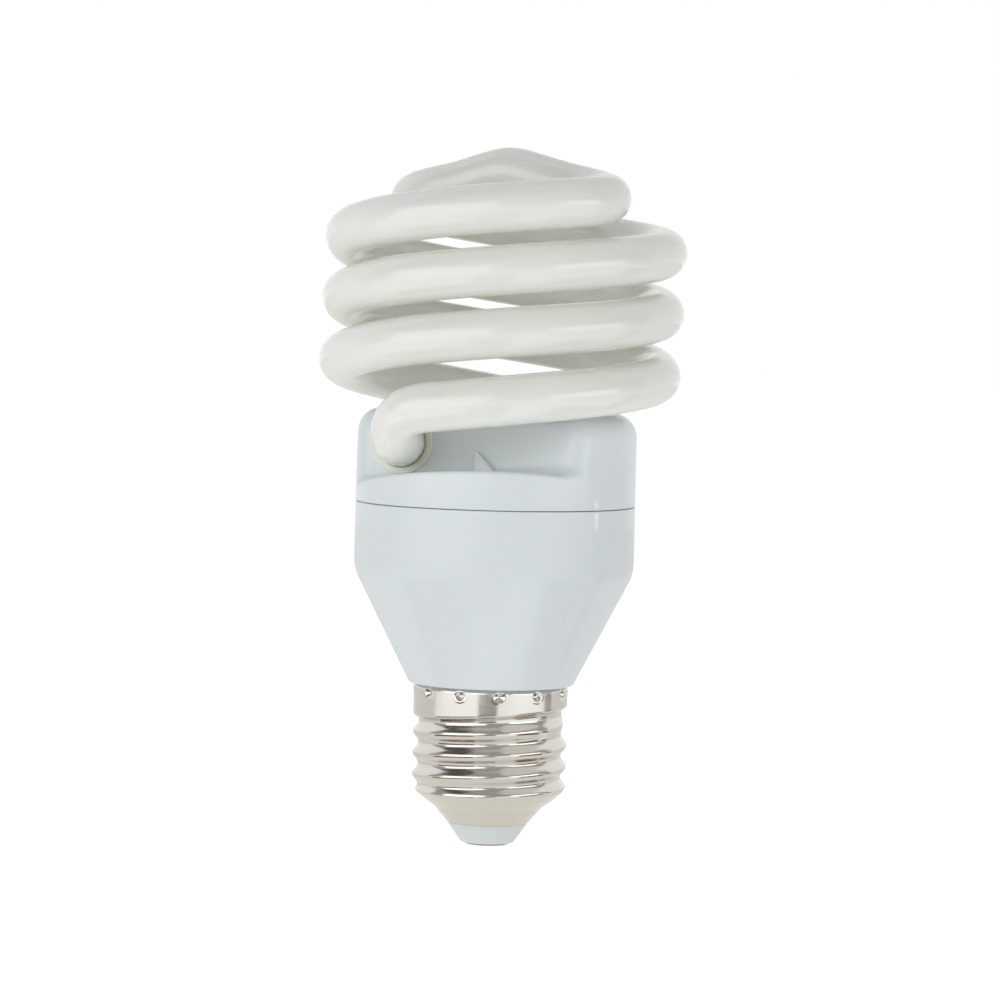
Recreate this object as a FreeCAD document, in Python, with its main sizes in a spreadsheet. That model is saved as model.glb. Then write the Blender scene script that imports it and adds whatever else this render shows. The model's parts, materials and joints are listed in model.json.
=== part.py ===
"""Spiral energy saving bulb with an E27 screw cap.

Millimetres, +Z up the lamp's axis, z = 0 on the face of the end contact. The front (-Y) is the
side where the first tube leg turns into the cover.
"""
import FreeCAD, Part
import math
import os
import re
import Sketcher
from FreeCAD import Placement, Rotation, Vector

# Driving dimensions, in millimetres and degrees
SIZES = {
    # end contact and insulator
    "contact_radius": 3.8,
    "contact_thickness": 0.8,
    "contact_proud": 0.35,
    "contact_round": 0.2,
    "insulator_foot_radius": 4.5,
    "insulator_rim_radius": 6.9,
    "insulator_height": 3.35,
    "insulator_flange": 1.4,
    "insulator_flange_height": 1.2,
    "live_bore": 0.9,
    # screw shell
    "shell_wall": 0.6,
    "shell_lip": 0.5,
    "cone_wall": 0.7,
    "cone_knee_radius": 9.2,
    "cone_knee_height": 2.7,
    "cone_height": 5.7,
    "thread_crest_radius": 13.1,
    "thread_depth": 0.95,
    "thread_pitch": 3.63,
    "thread_groove_radius": 1.6,
    "thread_run_in": 2.4,
    "thread_length": 12.8,
    "thread_phase": 202.0,
    "band_length": 5.3,
    "band_step": 1.0,
    "stake_radius": 1.1,
    "stake_depth": 0.35,
    "stake_drop": 1.7,
    "stake_phase": 14.2,
    # lower housing
    "neck_length": 14.0,
    "neck_wall": 1.4,
    "housing_foot_radius": 14.0,
    "housing_floor": 1.6,
    "housing_radius": 23.8,
    "housing_wall": 1.6,
    "housing_corner": 8.0,
    "taper_height": 19.2,
    "wall_height": 11.4,
    "edge_break": 0.2,
    "ledge_width": 1.6,
    "ledge_height": 2.0,
    # upper cover
    "cover_height": 15.8,
    "cover_round": 4.0,
    "cover_wall": 1.6,
    "skirt_wall": 1.5,
    "skirt_overlap": 1.5,
    "recess_half_angle": 58.6,
    "recess_rise": 4.3,
    "recess_heading": 25.8,
    "recess_lean": 10.0,
    "recess_climb": 4.4,
    "recess_soft_edge": 2.0,
    "recess_rim_edge": 0.7,
    "recess_end_edge": 2.2,
    "gusset_width": 3.0,
    "gusset_height": 2.4,
    "gusset_depth": 1.6,
    "gusset_along": -3.0,
    # glass spiral
    "tube_radius": 4.15,
    "coil_radius": 26.6,
    "strand_pitch": 10.33,
    "coil_lift": 0.8,
    "elbow_angle": 243.0,
    "settle_angle": 420.0,
    "settle_drop": 1.05,
    "settle_bow": 1.2,
    "crown_bend": 10.6,
    "crown_angle": 872.0,
    "crown_slope": 0.333,
    "crown_peak_round": 2.5,
    "leg_inset": 7.8,
    "leg_rise": 9.6,
    "leg_splay": 3.0,
    "leg_climb": 2.0,
    "leg_outer": 6.0,
    "leg_inner": 5.0,
    "elbow_pull_coil": 7.0,
    "elbow_pull_leg": 5.0,
    "pinch_length": 4.0,
    "pinch_thickness": 1.8,
    "lean_right": 1.6,
    "lean_back": 2.1,
    "collar_wall": 0.85,
    "collar_proud": 0.6,
    "collar_depth": 3.0,
    # board and what it carries; every place on it, x and y, is a share of its radius
    "board_depth": 6.1,
    "board_thickness": 1.6,
    "board_gap": 0.5,
    "choke_width": 15.0,
    "choke_depth": 5.0,
    "choke_height": 13.0,
    "choke_limb": 2.2,
    "choke_centre": 4.0,
    "choke_yoke": 2.0,
    "bobbin_wall": 0.7,
    "winding_build": 1.6,
    "choke_x": -0.23,
    "choke_y": 0.21,
    "bulk_radius": 5.0,
    "bulk_length": 18.0,
    "bulk_edge": 0.4,
    "bulk_bead": 0.6,
    "bulk_bead_foot": 1.6,
    "bulk_x": 0.396,
    "bulk_y": -0.184,
    "toroid_radius": 4.5,
    "toroid_bore": 2.4,
    "toroid_height": 4.0,
    "toroid_x": 0.38,
    "toroid_y": 0.58,
    "transistor_width": 8.0,
    "transistor_depth": 2.7,
    "transistor_height": 10.0,
    "transistor_legs": 3.0,
    "high_x": -0.415,
    "high_y": -0.323,
    "low_x": -0.07,
    "low_y": -0.553,
    "resonant_width": 8.0,
    "resonant_depth": 4.0,
    "resonant_height": 8.0,
    "resonant_x": 0.645,
    "resonant_y": 0.184,
    "blocking_width": 6.8,
    "blocking_depth": 3.6,
    "blocking_height": 6.8,
    "blocking_x": -0.327,
    "blocking_y": 0.654,
    "drum_radius": 3.4,
    "drum_height": 8.0,
    "drum_flange": 1.1,
    "drum_waist": 0.5,
    "drum_x": 0.369,
    "drum_y": -0.668,
    "diode_radius": 1.35,
    "diode_length": 5.2,
    "bridge_x": -0.092,
    "bridge_y": -0.691,
    "bridge_step": 0.175,
    "trigger_x": 0.01,
    "trigger_y": 0.622,
    "resistor_radius": 1.2,
    "resistor_length": 6.3,
    "fuse_x": 0.477,
    "fuse_y": -0.415,
    "bias_x": 0.01,
    "bias_y": 0.046,
    "bias_step": 0.184,
    "lead_radius": 0.35,
    "lead_bend": 1.0,
    "lead_run": 2.6,
    "pin_side": 1.0,
    "pin_height": 6.0,
    "filament_spread": 1.8,
    "filament_reach": 2.5,
    "mains_wire_radius": 0.5,
    "wire_bend": 1.5,
    "live_pad_x": 0.055,
    "live_pad_y": -0.3,
    "neutral_angle": 32.0,
    "fit_gap": 0.1,
}

# Counts: repeated details, and the points that draw the glass tube
STAKES = 12
BRIDGE_DIODES = 4
BIAS_RESISTORS = 3
RING_POINTS = 16
PINCH_STEPS = 5
LEG_STEPS = 6
ELBOW_STEPS = 6
CROWN_STEPS = 13
HELIX_STEP = 15

doc = FreeCAD.newDocument("spiral_bulb")
sheet = doc.addObject("Spreadsheet::Sheet", "sizes")
for row, (alias, value) in enumerate(SIZES.items(), start=1):
    sheet.set(f"A{row}", alias)
    sheet.set(f"B{row}", str(value))
    sheet.setAlias(f"B{row}", alias)
doc.recompute()

# Heights up the axis, each worked out from the driving dimensions
SHELL_FOOT = "(contact_proud + insulator_height)"
THREAD_FOOT = f"({SHELL_FOOT} + cone_height)"
BAND_FOOT = f"({THREAD_FOOT} + thread_length)"
HOUSING_FOOT = f"({BAND_FOOT} + band_length)"
NECK_FOOT = f"({HOUSING_FOOT} - neck_length)"
TAPER_TOP = f"({HOUSING_FOOT} + taper_height)"
PARTING = f"({TAPER_TOP} + wall_height)"
ROOF = f"({PARTING} + cover_height)"
BOARD_FOOT = f"({PARTING} - board_depth)"
BOARD_TOP = f"({BOARD_FOOT} + board_thickness)"

# Radii that several pieces share
MOUTH = "(insulator_rim_radius - shell_lip)"
SHELL_BORE = "(thread_crest_radius - thread_depth - shell_wall)"
BAND_BORE = "(thread_crest_radius - shell_wall)"
NECK_BORE = f"({SHELL_BORE} - fit_gap - neck_wall)"
HOUSING_BORE = "(housing_radius - housing_wall)"
LEG_HOLE = "(tube_radius + collar_wall + 2 * fit_gap)"
BOARD_RADIUS = f"({HOUSING_BORE} - board_gap)"


def tied(text):
    """The same expression with every size named as a cell of the sheet."""
    return re.sub(r"[a-z]\w*", lambda name: f"sizes.{name[0]}" if name[0] in SIZES else name[0], text)


def number(text):
    """The present value of an expression."""
    return float(sheet.evalExpression(tied(text)))


def size(alias):
    """The present value of one driving dimension."""
    return float(sheet.get(alias))


def seat(piece, x, y, z, turn=None):
    """Put a piece at a place worked out from the sheet, turned if asked."""
    piece.Placement = Placement(Vector(), turn or Rotation())
    for axis, text in zip("xyz", (x, y, z)):
        piece.setExpression(f"Placement.Base.{axis}", tied(text))
    return piece


def origin_plane(body, role):
    """One of a body's own three planes."""
    return next(plane for plane in body.Origin.OriginFeatures if plane.Role == role)


def profile_sketch(body, name):
    """An empty sketch on the body's upright XZ plane."""
    sketch = body.newObject("Sketcher::SketchObject", name)
    sketch.AttachmentSupport = (origin_plane(body, "XZ_Plane"), [""])
    sketch.MapMode = "FlatFace"
    return sketch


def pin_corner(sketch, geometry, vertex, radius, height):
    """Hold one point of a sketch at a radius and height taken from the sheet."""
    for kind, text, axis in (("DistanceX", radius, -2), ("DistanceY", height, -1)):
        if text == "0":
            sketch.addConstraint(Sketcher.Constraint("PointOnObject", geometry, vertex, axis))
            continue
        index = sketch.addConstraint(Sketcher.Constraint(kind, -1, 1, geometry, vertex, number(text)))
        sketch.setExpression(f"Constraints[{index}]", tied(text))


def turned(label, outline):
    """A body turned about the axis from its (radius, height) corners."""
    body = doc.addObject("PartDesign::Body", label)
    sketch = profile_sketch(body, label + "_profile")
    corners = [Vector(number(radius), number(height), 0) for radius, height in outline]
    for start, end in zip(corners, corners[1:] + corners[:1]):
        sketch.addGeometry(Part.LineSegment(start, end))
    for index, (radius, height) in enumerate(outline):
        sketch.addConstraint(Sketcher.Constraint("Coincident", index - 1 if index else len(outline) - 1, 2,
                                                 index, 1))
        pin_corner(sketch, index, 1, radius, height)
    turn = body.newObject("PartDesign::Revolution", label + "_turn")
    turn.Profile = sketch
    turn.ReferenceAxis = (sketch, ["V_Axis"])
    turn.Angle = 360
    doc.recompute()
    return body


def round_ring(body, radius, height, fillet):
    """Round the circular edge of a turned body that lies at this radius and height."""
    base = body.Tip
    names = [f"Edge{index}" for index, edge in enumerate(base.Shape.Edges, start=1)
             if isinstance(edge.Curve, Part.Circle)
             and abs(edge.Curve.Radius - number(radius)) < 0.01
             and abs(edge.Curve.Center.z - number(height)) < 0.01]
    rounding = body.newObject("PartDesign::Fillet", body.Label + "_rounding")
    rounding.Base = (base, names)
    rounding.setExpression("Radius", tied(fillet))
    doc.recompute()


def block(label, corner, extent):
    """A box from its lowest corner and its three lengths, all from the sheet."""
    box = doc.addObject("Part::Box", label)
    for name, text in zip(("Length", "Width", "Height"), extent):
        box.setExpression(name, tied(text))
    return seat(box, *corner)


def centred_block(label, width, depth, height, foot="0"):
    """A box centred on the axis, standing at the foot height."""
    return block(label, (f"-({width}) / 2", f"-({depth}) / 2", foot), (width, depth, height))


def cut(label, base, *tools):
    """The base with every tool taken out of it."""
    result = base
    for index, tool in enumerate(tools, start=1):
        step = doc.addObject("Part::Cut", label if index == len(tools) else f"{label}_cut_{index}")
        step.Base = result
        step.Tool = tool
        result = step
    doc.recompute()
    return result


def fuse(label, *pieces):
    """Several shapes made one."""
    joined = doc.addObject("Part::MultiFuse", label)
    joined.Shapes = list(pieces)
    joined.Refine = True
    doc.recompute()
    return joined


def shaped(label, shape):
    """A sub-part whose shape is worked out below."""
    feature = doc.addObject("Part::Feature", label)
    feature.Shape = shape
    return feature


def swept_rod(path, radius):
    """A round rod swept along a smooth wire."""
    start = path.Edges[0]
    circle = Part.Circle(start.valueAt(start.FirstParameter), start.tangentAt(start.FirstParameter), radius)
    return path.makePipeShell([Part.Wire(circle.toShape())], True, False)


def bent_wire(points, radius, bend):
    """A round wire of straight runs joined by arcs of one bend radius."""
    edges = []
    start = points[0]
    for corner, after in zip(points[1:], points[2:]):
        inward = (start - corner).normalize()
        outward = (after - corner).normalize()
        half = inward.getAngle(outward) / 2
        reach = bend / math.tan(half)
        middle = (inward + outward).normalize() * (bend / math.sin(half) - bend)
        edges.append(Part.LineSegment(start, corner + inward * reach).toShape())
        edges.append(Part.Arc(corner + inward * reach, corner + middle, corner + outward * reach).toShape())
        start = corner + outward * reach
    edges.append(Part.LineSegment(start, points[-1]).toShape())
    return swept_rod(Part.Wire(edges), radius)


# End contact: a nickelled disc let into the insulator, standing a little proud
centre_contact = turned("centre_contact", [
    ("0", "0"),
    ("contact_radius - contact_round", "0"),
    ("contact_radius", "contact_round"),
    ("contact_radius", "contact_thickness"),
    ("0", "contact_thickness")])

# Insulator: a plastic cone whose flange is held inside the shell's mouth
FLANGE_SLOPE = f"(cone_height / ({SHELL_BORE} - {MOUTH}))"
FLANGE_FOOT = f"({SHELL_FOOT} + cone_wall + fit_gap + insulator_flange * {FLANGE_SLOPE})"
base_insulator = turned("base_insulator", [
    ("live_bore", "contact_thickness"),
    ("contact_radius + fit_gap", "contact_thickness"),
    ("contact_radius + fit_gap", "contact_proud"),
    ("insulator_foot_radius", "contact_proud"),
    ("insulator_rim_radius", SHELL_FOOT),
    (f"{MOUTH} - fit_gap", SHELL_FOOT),
    (f"{MOUTH} - fit_gap", f"{SHELL_FOOT} + cone_wall + fit_gap"),
    (f"{MOUTH} + insulator_flange", FLANGE_FOOT),
    (f"{MOUTH} + insulator_flange", f"{FLANGE_FOOT} + insulator_flange_height"),
    ("live_bore", f"{FLANGE_FOOT} + insulator_flange_height")])

# Screw shell: thin metal with a rolled knuckle thread and a ring of staking dimples
screw_shell = turned("screw_shell", [
    (MOUTH, SHELL_FOOT),
    ("insulator_rim_radius", SHELL_FOOT),
    ("cone_knee_radius", f"{SHELL_FOOT} + cone_knee_height"),
    ("thread_crest_radius", THREAD_FOOT),
    ("thread_crest_radius", HOUSING_FOOT),
    (BAND_BORE, HOUSING_FOOT),
    (BAND_BORE, f"{BAND_FOOT} + band_step"),
    (SHELL_BORE, BAND_FOOT),
    (SHELL_BORE, f"{THREAD_FOOT} + cone_wall"),
    (MOUTH, f"{SHELL_FOOT} + cone_wall")])


def roll_thread(body):
    """Roll a round-bottomed right-hand groove; it starts in the air below the crest cylinder."""
    start = f"({THREAD_FOOT} - thread_run_in)"
    sketch = profile_sketch(body, "groove_profile")
    sketch.addGeometry(Part.Circle(Vector(number("thread_crest_radius"), number(start), 0),
                                   Vector(0, 0, 1), size("thread_groove_radius")))
    index = sketch.addConstraint(Sketcher.Constraint("Radius", 0, size("thread_groove_radius")))
    sketch.setExpression(f"Constraints[{index}]", tied("thread_groove_radius"))
    pin_corner(sketch, 0, 3, "thread_crest_radius - thread_depth + thread_groove_radius", start)
    groove = body.newObject("PartDesign::SubtractiveHelix", "thread_groove")
    groove.Profile = sketch
    groove.ReferenceAxis = (sketch, ["V_Axis"])
    groove.Mode = 0
    groove.setExpression("Pitch", tied("thread_pitch"))
    groove.setExpression("Height", tied(f"{BAND_FOOT} - thread_groove_radius - {start}"))
    doc.recompute()


def stake_ring(body):
    """Punch the dimples that lock the shell on the housing's neck."""
    dimple = body.newObject("PartDesign::SubtractiveSphere", "stake_dimple")
    dimple.setExpression("Radius", tied("stake_radius"))
    reach = "(thread_crest_radius + stake_radius - stake_depth)"
    seat(dimple, f"{reach} * cos(stake_phase)", f"{reach} * sin(stake_phase)",
         f"{HOUSING_FOOT} - stake_drop")
    ring = body.newObject("PartDesign::PolarPattern", "stake_ring")
    ring.Originals = [dimple]
    ring.Axis = (next(axis for axis in body.Origin.OriginFeatures if axis.Role == "Z_Axis"), [""])
    ring.Angle = 360
    ring.Occurrences = STAKES
    body.Tip = ring
    doc.recompute()


roll_thread(screw_shell)
stake_ring(screw_shell)
screw_shell.Placement = Placement(Vector(), Rotation(Vector(0, 0, 1), size("thread_phase")))

# Lower housing: neck inside the shell, taper, upright wall and a ledge for the board
NECK_RADIUS = f"({SHELL_BORE} - fit_gap)"
BAND_RADIUS = f"({BAND_BORE} - fit_gap)"
LEDGE_BORE = f"({HOUSING_BORE} - ledge_width)"
ballast_housing = turned("ballast_housing", [
    (NECK_BORE, NECK_FOOT),
    (NECK_RADIUS, NECK_FOOT),
    (NECK_RADIUS, BAND_FOOT),
    (BAND_RADIUS, f"{BAND_FOOT} + band_step + 2 * fit_gap"),
    (BAND_RADIUS, HOUSING_FOOT),
    ("housing_foot_radius", HOUSING_FOOT),
    ("housing_radius", TAPER_TOP),
    ("housing_radius", f"{PARTING} - edge_break"),
    ("housing_radius - edge_break", PARTING),
    (HOUSING_BORE, PARTING),
    (HOUSING_BORE, BOARD_FOOT),
    (LEDGE_BORE, BOARD_FOOT),
    (LEDGE_BORE, f"{BOARD_FOOT} - ledge_height"),
    (HOUSING_BORE, f"{BOARD_FOOT} - ledge_height - ledge_width"),
    (HOUSING_BORE, TAPER_TOP),
    ("housing_foot_radius - housing_wall", f"{HOUSING_FOOT} + housing_floor"),
    (NECK_BORE, f"{HOUSING_FOOT} + housing_floor")])
round_ring(ballast_housing, "housing_radius", TAPER_TOP, "housing_corner")

# Glass spiral: two right-handed arms, half a turn apart, that meet in a ridged crown
SIDES = {"front": 0, "back": 180}
COIL_FOOT = number(f"{ROOF} + coil_lift")
PIVOT = Vector(0, 0, number(ROOF))
LEAN = Rotation(Vector(0, 1, 0), size("lean_right")) * Rotation(Vector(-1, 0, 0), size("lean_back"))
COIL_FRAME = Placement(PIVOT, LEAN) * Placement(PIVOT * -1, Rotation())


def coil_place(side):
    """Frame of one arm: the leaning coil, turned half round for the back arm."""
    return COIL_FRAME * Placement(Vector(), Rotation(Vector(0, 0, 1), SIDES[side]))


def helix_point(angle):
    """Centre line of the coil at an angle in degrees; its lower end settles a little."""
    turn = math.radians(angle)
    height = COIL_FOOT + size("strand_pitch") * (angle - size("elbow_angle")) / 180
    ease = max(0, (size("settle_angle") - angle) / (size("settle_angle") - size("elbow_angle")))
    height -= size("settle_drop") * ease ** size("settle_bow")
    return Vector(size("coil_radius") * math.cos(turn), size("coil_radius") * math.sin(turn), height)


def level(angle, radius):
    """A point in the level plane, from its angle in radians and its radius."""
    return Vector(math.cos(angle), math.sin(angle), 0) * radius


# Crown in plan: an arc inside the coil from the touch angle on, then a straight run to the axis
BEND = size("crown_bend")
STRAIGHT = number("sqrt(coil_radius * (coil_radius - 2 * crown_bend))")
SWING = math.atan2(BEND, STRAIGHT)
LINE = math.radians(size("crown_angle"))
TOUCH = LINE - SWING
ARC_LENGTH = BEND * (SWING + math.pi / 2)
CROWN_LENGTH = ARC_LENGTH + STRAIGHT
BASE_SLOPE = size("strand_pitch") / (math.pi * size("coil_radius"))


def crown_fall(away):
    """Drop below the peak, away from it along the crown; steepest near the rounded peak."""
    soft = math.hypot(away, size("crown_peak_round")) - size("crown_peak_round")
    steeper = size("crown_slope") - BASE_SLOPE
    return BASE_SLOPE * soft + steeper * CROWN_LENGTH / 4 * (1 - (1 - soft / CROWN_LENGTH) ** 4)


def crown_point(run):
    """Centre line of the crown at a length run from where it leaves the helix."""
    if run < ARC_LENGTH:
        plan = level(TOUCH, size("coil_radius") - BEND) + level(TOUCH + run / BEND, BEND)
    else:
        plan = level(LINE, CROWN_LENGTH - run)
    rise = crown_fall(CROWN_LENGTH) - crown_fall(CROWN_LENGTH - run)
    return plan + Vector(0, 0, helix_point(math.degrees(TOUCH)).z + rise)


def coil_points():
    """Points up the helix, then along the crown to its peak."""
    start, span = size("elbow_angle"), math.degrees(TOUCH) - size("elbow_angle")
    steps = round(span / HELIX_STEP)
    helix = [helix_point(start + span * step / steps) for step in range(steps)]
    return helix + [crown_point(CROWN_LENGTH * step / CROWN_STEPS) for step in range(CROWN_STEPS + 1)]


# Legs: each leaves the slanted recess wall at an offset from the axis
RECESS_INSET = "(housing_radius * cos(recess_half_angle))"
LEG_OFFSET = "(housing_radius - leg_inset)"
LEG_WALL = f"(({RECESS_INSET} - {LEG_OFFSET} * sin(recess_heading)) / cos(recess_heading))"
LEG_POINT = Vector(-number(LEG_OFFSET), -number(LEG_WALL), number(f"{PARTING} + leg_rise"))
LEG_OUT = (Rotation(Vector(0, 0, 1), -size("leg_splay")) * Rotation(Vector(-1, 0, 0), size("leg_climb"))
           ).multVec(Vector(0, -1, 0))
SEALED_END = LEG_POINT - LEG_OUT * number("leg_inner + pinch_length")


def leg_points():
    """From the sealed end inside the cover, out along the leg and round the elbow to the coil."""
    inner = LEG_POINT - LEG_OUT * size("leg_inner")
    outer = LEG_POINT + LEG_OUT * size("leg_outer")
    coil = helix_point(size("elbow_angle"))
    ahead = helix_point(size("elbow_angle") + 1) - coil
    pull_leg = outer + LEG_OUT * size("elbow_pull_leg")
    pull_coil = coil - ahead.normalize() * size("elbow_pull_coil")
    bend = Part.BezierCurve()
    bend.setPoles([outer, pull_leg, pull_coil, coil])
    pinch = [SEALED_END + (inner - SEALED_END) * (step / PINCH_STEPS) for step in range(PINCH_STEPS)]
    straight = [inner + (outer - inner) * (step / LEG_STEPS) for step in range(LEG_STEPS)]
    return pinch + straight + [bend.value(step / ELBOW_STEPS) for step in range(ELBOW_STEPS)]


def flatness(reach):
    """Height of the tube as a share of its width, at a distance from the nearer sealed end."""
    ease = min(reach / size("pinch_length"), 1)
    thin = number("pinch_thickness / (2 * tube_radius)")
    return thin + (1 - thin) * ease ** 3 * (10 - 15 * ease + 6 * ease ** 2)


def tube_skin(line):
    """Skin of the tube on a curve: the poles of one ring carried along it, kept upright."""
    stations = line.getKnots()
    ends = [line.value(stations[0]), line.value(stations[-1])]
    spokes = [level(2 * math.pi * index / RING_POINTS, size("tube_radius")) for index in range(RING_POINTS)]
    ring = Part.BSplineCurve()
    ring.interpolate(Points=spokes, PeriodicFlag=True)
    strings = [[] for _ in ring.getPoles()]
    for station in stations:
        centre = line.value(station)
        ahead = line.tangent(station)[0]
        up = (Vector(0, 0, 1) - ahead * ahead.z).normalize()
        across = ahead.cross(up)
        share = flatness(min(centre.distanceToPoint(end) for end in ends))
        for string, pole in zip(strings, ring.getPoles()):
            string.append(centre + up * (pole.x * share) + across * pole.y)
    curves = []
    for string in strings:
        curve = Part.BSplineCurve()
        curve.interpolate(Points=string, Parameters=stations)
        curves.append(curve)
    skin = Part.BSplineSurface()
    skin.buildFromPolesMultsKnots(
        [list(row) for row in zip(*[curve.getPoles() for curve in curves])],
        curves[0].getMultiplicities(), ring.getMultiplicities(), curves[0].getKnots(), ring.getKnots(),
        False, True, curves[0].Degree, ring.Degree)
    return skin.toShape()


def glass_tube():
    """One tube from sealed end to sealed end, pinched flat at each end."""
    arm = leg_points() + coil_points()
    half_turn = Rotation(Vector(0, 0, 1), SIDES["back"])
    line = Part.BSplineCurve()
    line.interpolate(Points=arm + [half_turn.multVec(point) for point in reversed(arm[:-1])])
    skin = tube_skin(line)
    ends = [Part.Face(Part.Wire(edge)) for edge in skin.Edges if edge.isClosed()]
    whole = Part.makeCompound([skin] + ends)
    whole.sewShape()
    return Part.makeSolid(whole.Shells[0])


glass_spiral = shaped("glass_spiral", glass_tube())
glass_spiral.Placement = COIL_FRAME

# Upper cover: a round cap with two slanted recesses, one for each leg of the tube
cover_blank = turned("cover_blank", [
    ("0", PARTING),
    ("housing_radius - edge_break", PARTING),
    ("housing_radius", f"{PARTING} + edge_break"),
    ("housing_radius", ROOF),
    ("0", ROOF)])
round_ring(cover_blank, "housing_radius", ROOF, "cover_round")

cover_void = turned("cover_void", [
    ("0", f"{PARTING} - edge_break"),
    ("housing_radius - cover_wall", f"{PARTING} - edge_break"),
    ("housing_radius - cover_wall", f"{ROOF} - cover_wall"),
    ("0", f"{ROOF} - cover_wall")])
round_ring(cover_void, "housing_radius - cover_wall", f"{ROOF} - cover_wall", "cover_round - cover_wall")


def recess_frame(side):
    """Foot of a recess wall: x along the wall, y out of the cover, z up; leaning and climbing."""
    turn = Rotation(Vector(0, 0, 1), SIDES[side] + 180 - size("recess_heading"))
    tilt = Rotation(Vector(0, 1, 0), size("recess_climb")) * Rotation(Vector(1, 0, 0), size("recess_lean"))
    foot = turn.multVec(Vector(0, number(RECESS_INSET), number(f"{PARTING} + recess_rise")))
    return Placement(foot, turn * tilt)


def recess_block(label, side, out="0", foot="0"):
    """The space of a recess, its wall moved out and its floor moved up by these distances."""
    space = doc.addObject("Part::Box", label)
    space.setExpression("Length", tied("2 * housing_radius"))
    space.setExpression("Width", tied("housing_radius"))
    space.setExpression("Height", tied("housing_radius"))
    corner = Vector(-size("housing_radius"), number(out), number(foot))
    space.Placement = recess_frame(side) * Placement(corner, Rotation())
    return space


def leg_rod(label, side, radius, outward, inward):
    """A round rod on a leg's own line, from inside the cover to outside it."""
    rod = doc.addObject("Part::Cylinder", label)
    rod.setExpression("Radius", tied(radius))
    rod.setExpression("Height", tied(f"{outward} + {inward}"))
    start = LEG_POINT - LEG_OUT * number(inward)
    rod.Placement = coil_place(side) * Placement(start, Rotation(Vector(0, 0, 1), LEG_OUT))
    return rod


def soften_recess(label, base):
    """Round the recess edges: wide where the wall runs out, finer along the rim and the foot."""
    normals = [recess_frame(side).Rotation.multVec(Vector(0, 1, 0)) for side in SIDES]
    floors = [recess_frame(side).Rotation.multVec(Vector(0, 0, 1)) for side in SIDES]

    def facing(face):
        if not isinstance(face.Surface, Part.Plane):
            return "round"
        normal = face.normalAt(0, 0)
        if any(normal.isEqual(wall, 1e-4) for wall in normals):
            return "wall"
        return "floor" if any(normal.isEqual(floor, 1e-4) for floor in floors) else "flat"

    rounding = doc.addObject("Part::Fillet", label)
    rounding.Base = base
    edges = []
    for index, edge in enumerate(base.Shape.Edges, start=1):
        pair = sorted(facing(face) for face in base.Shape.ancestorsOfType(edge, Part.Face))
        if pair == ["round", "wall"]:
            edges.append((index, size("recess_end_edge"), size("recess_end_edge")))
        elif pair == ["floor", "wall"]:
            edges.append((index, size("recess_soft_edge"), size("recess_soft_edge")))
        elif pair == ["floor", "round"]:
            edges.append((index, size("recess_rim_edge"), size("recess_rim_edge")))
    rounding.Edges = edges
    doc.recompute()
    return rounding


def recess_gusset(side):
    """A small three-cornered rib moulded in the corner of a recess."""
    frame = recess_frame(side)
    along, width = size("gusset_along"), size("gusset_width")
    depth, height = size("gusset_depth"), size("gusset_height")
    sunk = size("cover_wall") / 2
    outline = [Vector(x, -sunk, z) for x, z in ((along, -sunk), (along, height), (along - width, -sunk))]
    face = Part.Face(Part.makePolygon(outline + outline[:1]))
    rib = shaped(f"gusset_{side}", face.extrude(Vector(0, sunk + depth, 0)))
    rib.Placement = frame
    return rib


cover_cut = cut("cover_cut", cover_blank, *[recess_block(f"recess_{side}", side) for side in SIDES])
cover_soft = soften_recess("cover_soft", cover_cut)
recess_backs = [recess_block(f"recess_back_{side}", side, "-cover_wall", "-cover_wall") for side in SIDES]
cover_core = cut("cover_core", cover_void, *recess_backs)
cover_shell = cut("cover_shell", cover_soft, cover_core)
SKIRT_RADIUS = f"({HOUSING_BORE} - 2 * fit_gap)"
cover_skirt = turned("cover_skirt", [
    (f"{SKIRT_RADIUS} - skirt_wall", f"{BOARD_TOP} + fit_gap"),
    (SKIRT_RADIUS, f"{BOARD_TOP} + fit_gap"),
    (SKIRT_RADIUS, PARTING),
    ("housing_radius - cover_wall / 2", PARTING),
    ("housing_radius - cover_wall / 2", f"{PARTING} + skirt_overlap"),
    (f"{SKIRT_RADIUS} - skirt_wall", f"{PARTING} + skirt_overlap")])
cover_joined = fuse("cover_joined", cover_shell, cover_skirt, *[recess_gusset(side) for side in SIDES])
leg_holes = [leg_rod(f"leg_hole_{side}", side, LEG_HOLE, "leg_outer", "2 * collar_depth") for side in SIDES]
tube_cover = cut("tube_cover", cover_joined, *leg_holes)


def tube_collar(side):
    """A sealing sleeve round a leg, trimmed parallel to the recess wall and a little proud of it."""
    outer, inner = "tube_radius + collar_wall + fit_gap", "tube_radius + fit_gap"
    sleeve = leg_rod(f"collar_rod_{side}", side, outer, "leg_outer", "collar_depth")
    bore = leg_rod(f"collar_bore_{side}", side, inner, "2 * leg_outer", "2 * collar_depth")
    air = recess_block(f"collar_air_{side}", side, "collar_proud", "-housing_radius / 2")
    return cut(f"tube_collar_{side}", sleeve, bore, air)


collars = [tube_collar(side) for side in SIDES]

# Circuit board: a disc on the housing's ledge, held down by the cover's skirt
circuit_board = doc.addObject("Part::Cylinder", "circuit_board")
circuit_board.setExpression("Radius", tied(BOARD_RADIUS))
circuit_board.setExpression("Height", tied("board_thickness"))
seat(circuit_board, "0", "0", BOARD_FOOT)

HANG = Rotation(Vector(1, 0, 0), 180)


def on_board(share):
    """A distance on the board from its share of the board's radius."""
    return f"{share} * {BOARD_RADIUS}"


def hang(piece, name):
    """Hang a component, drawn standing on z = 0, from its place under the board."""
    return seat(piece, on_board(f"{name}_x"), on_board(f"{name}_y"), BOARD_FOOT, HANG)


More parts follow.
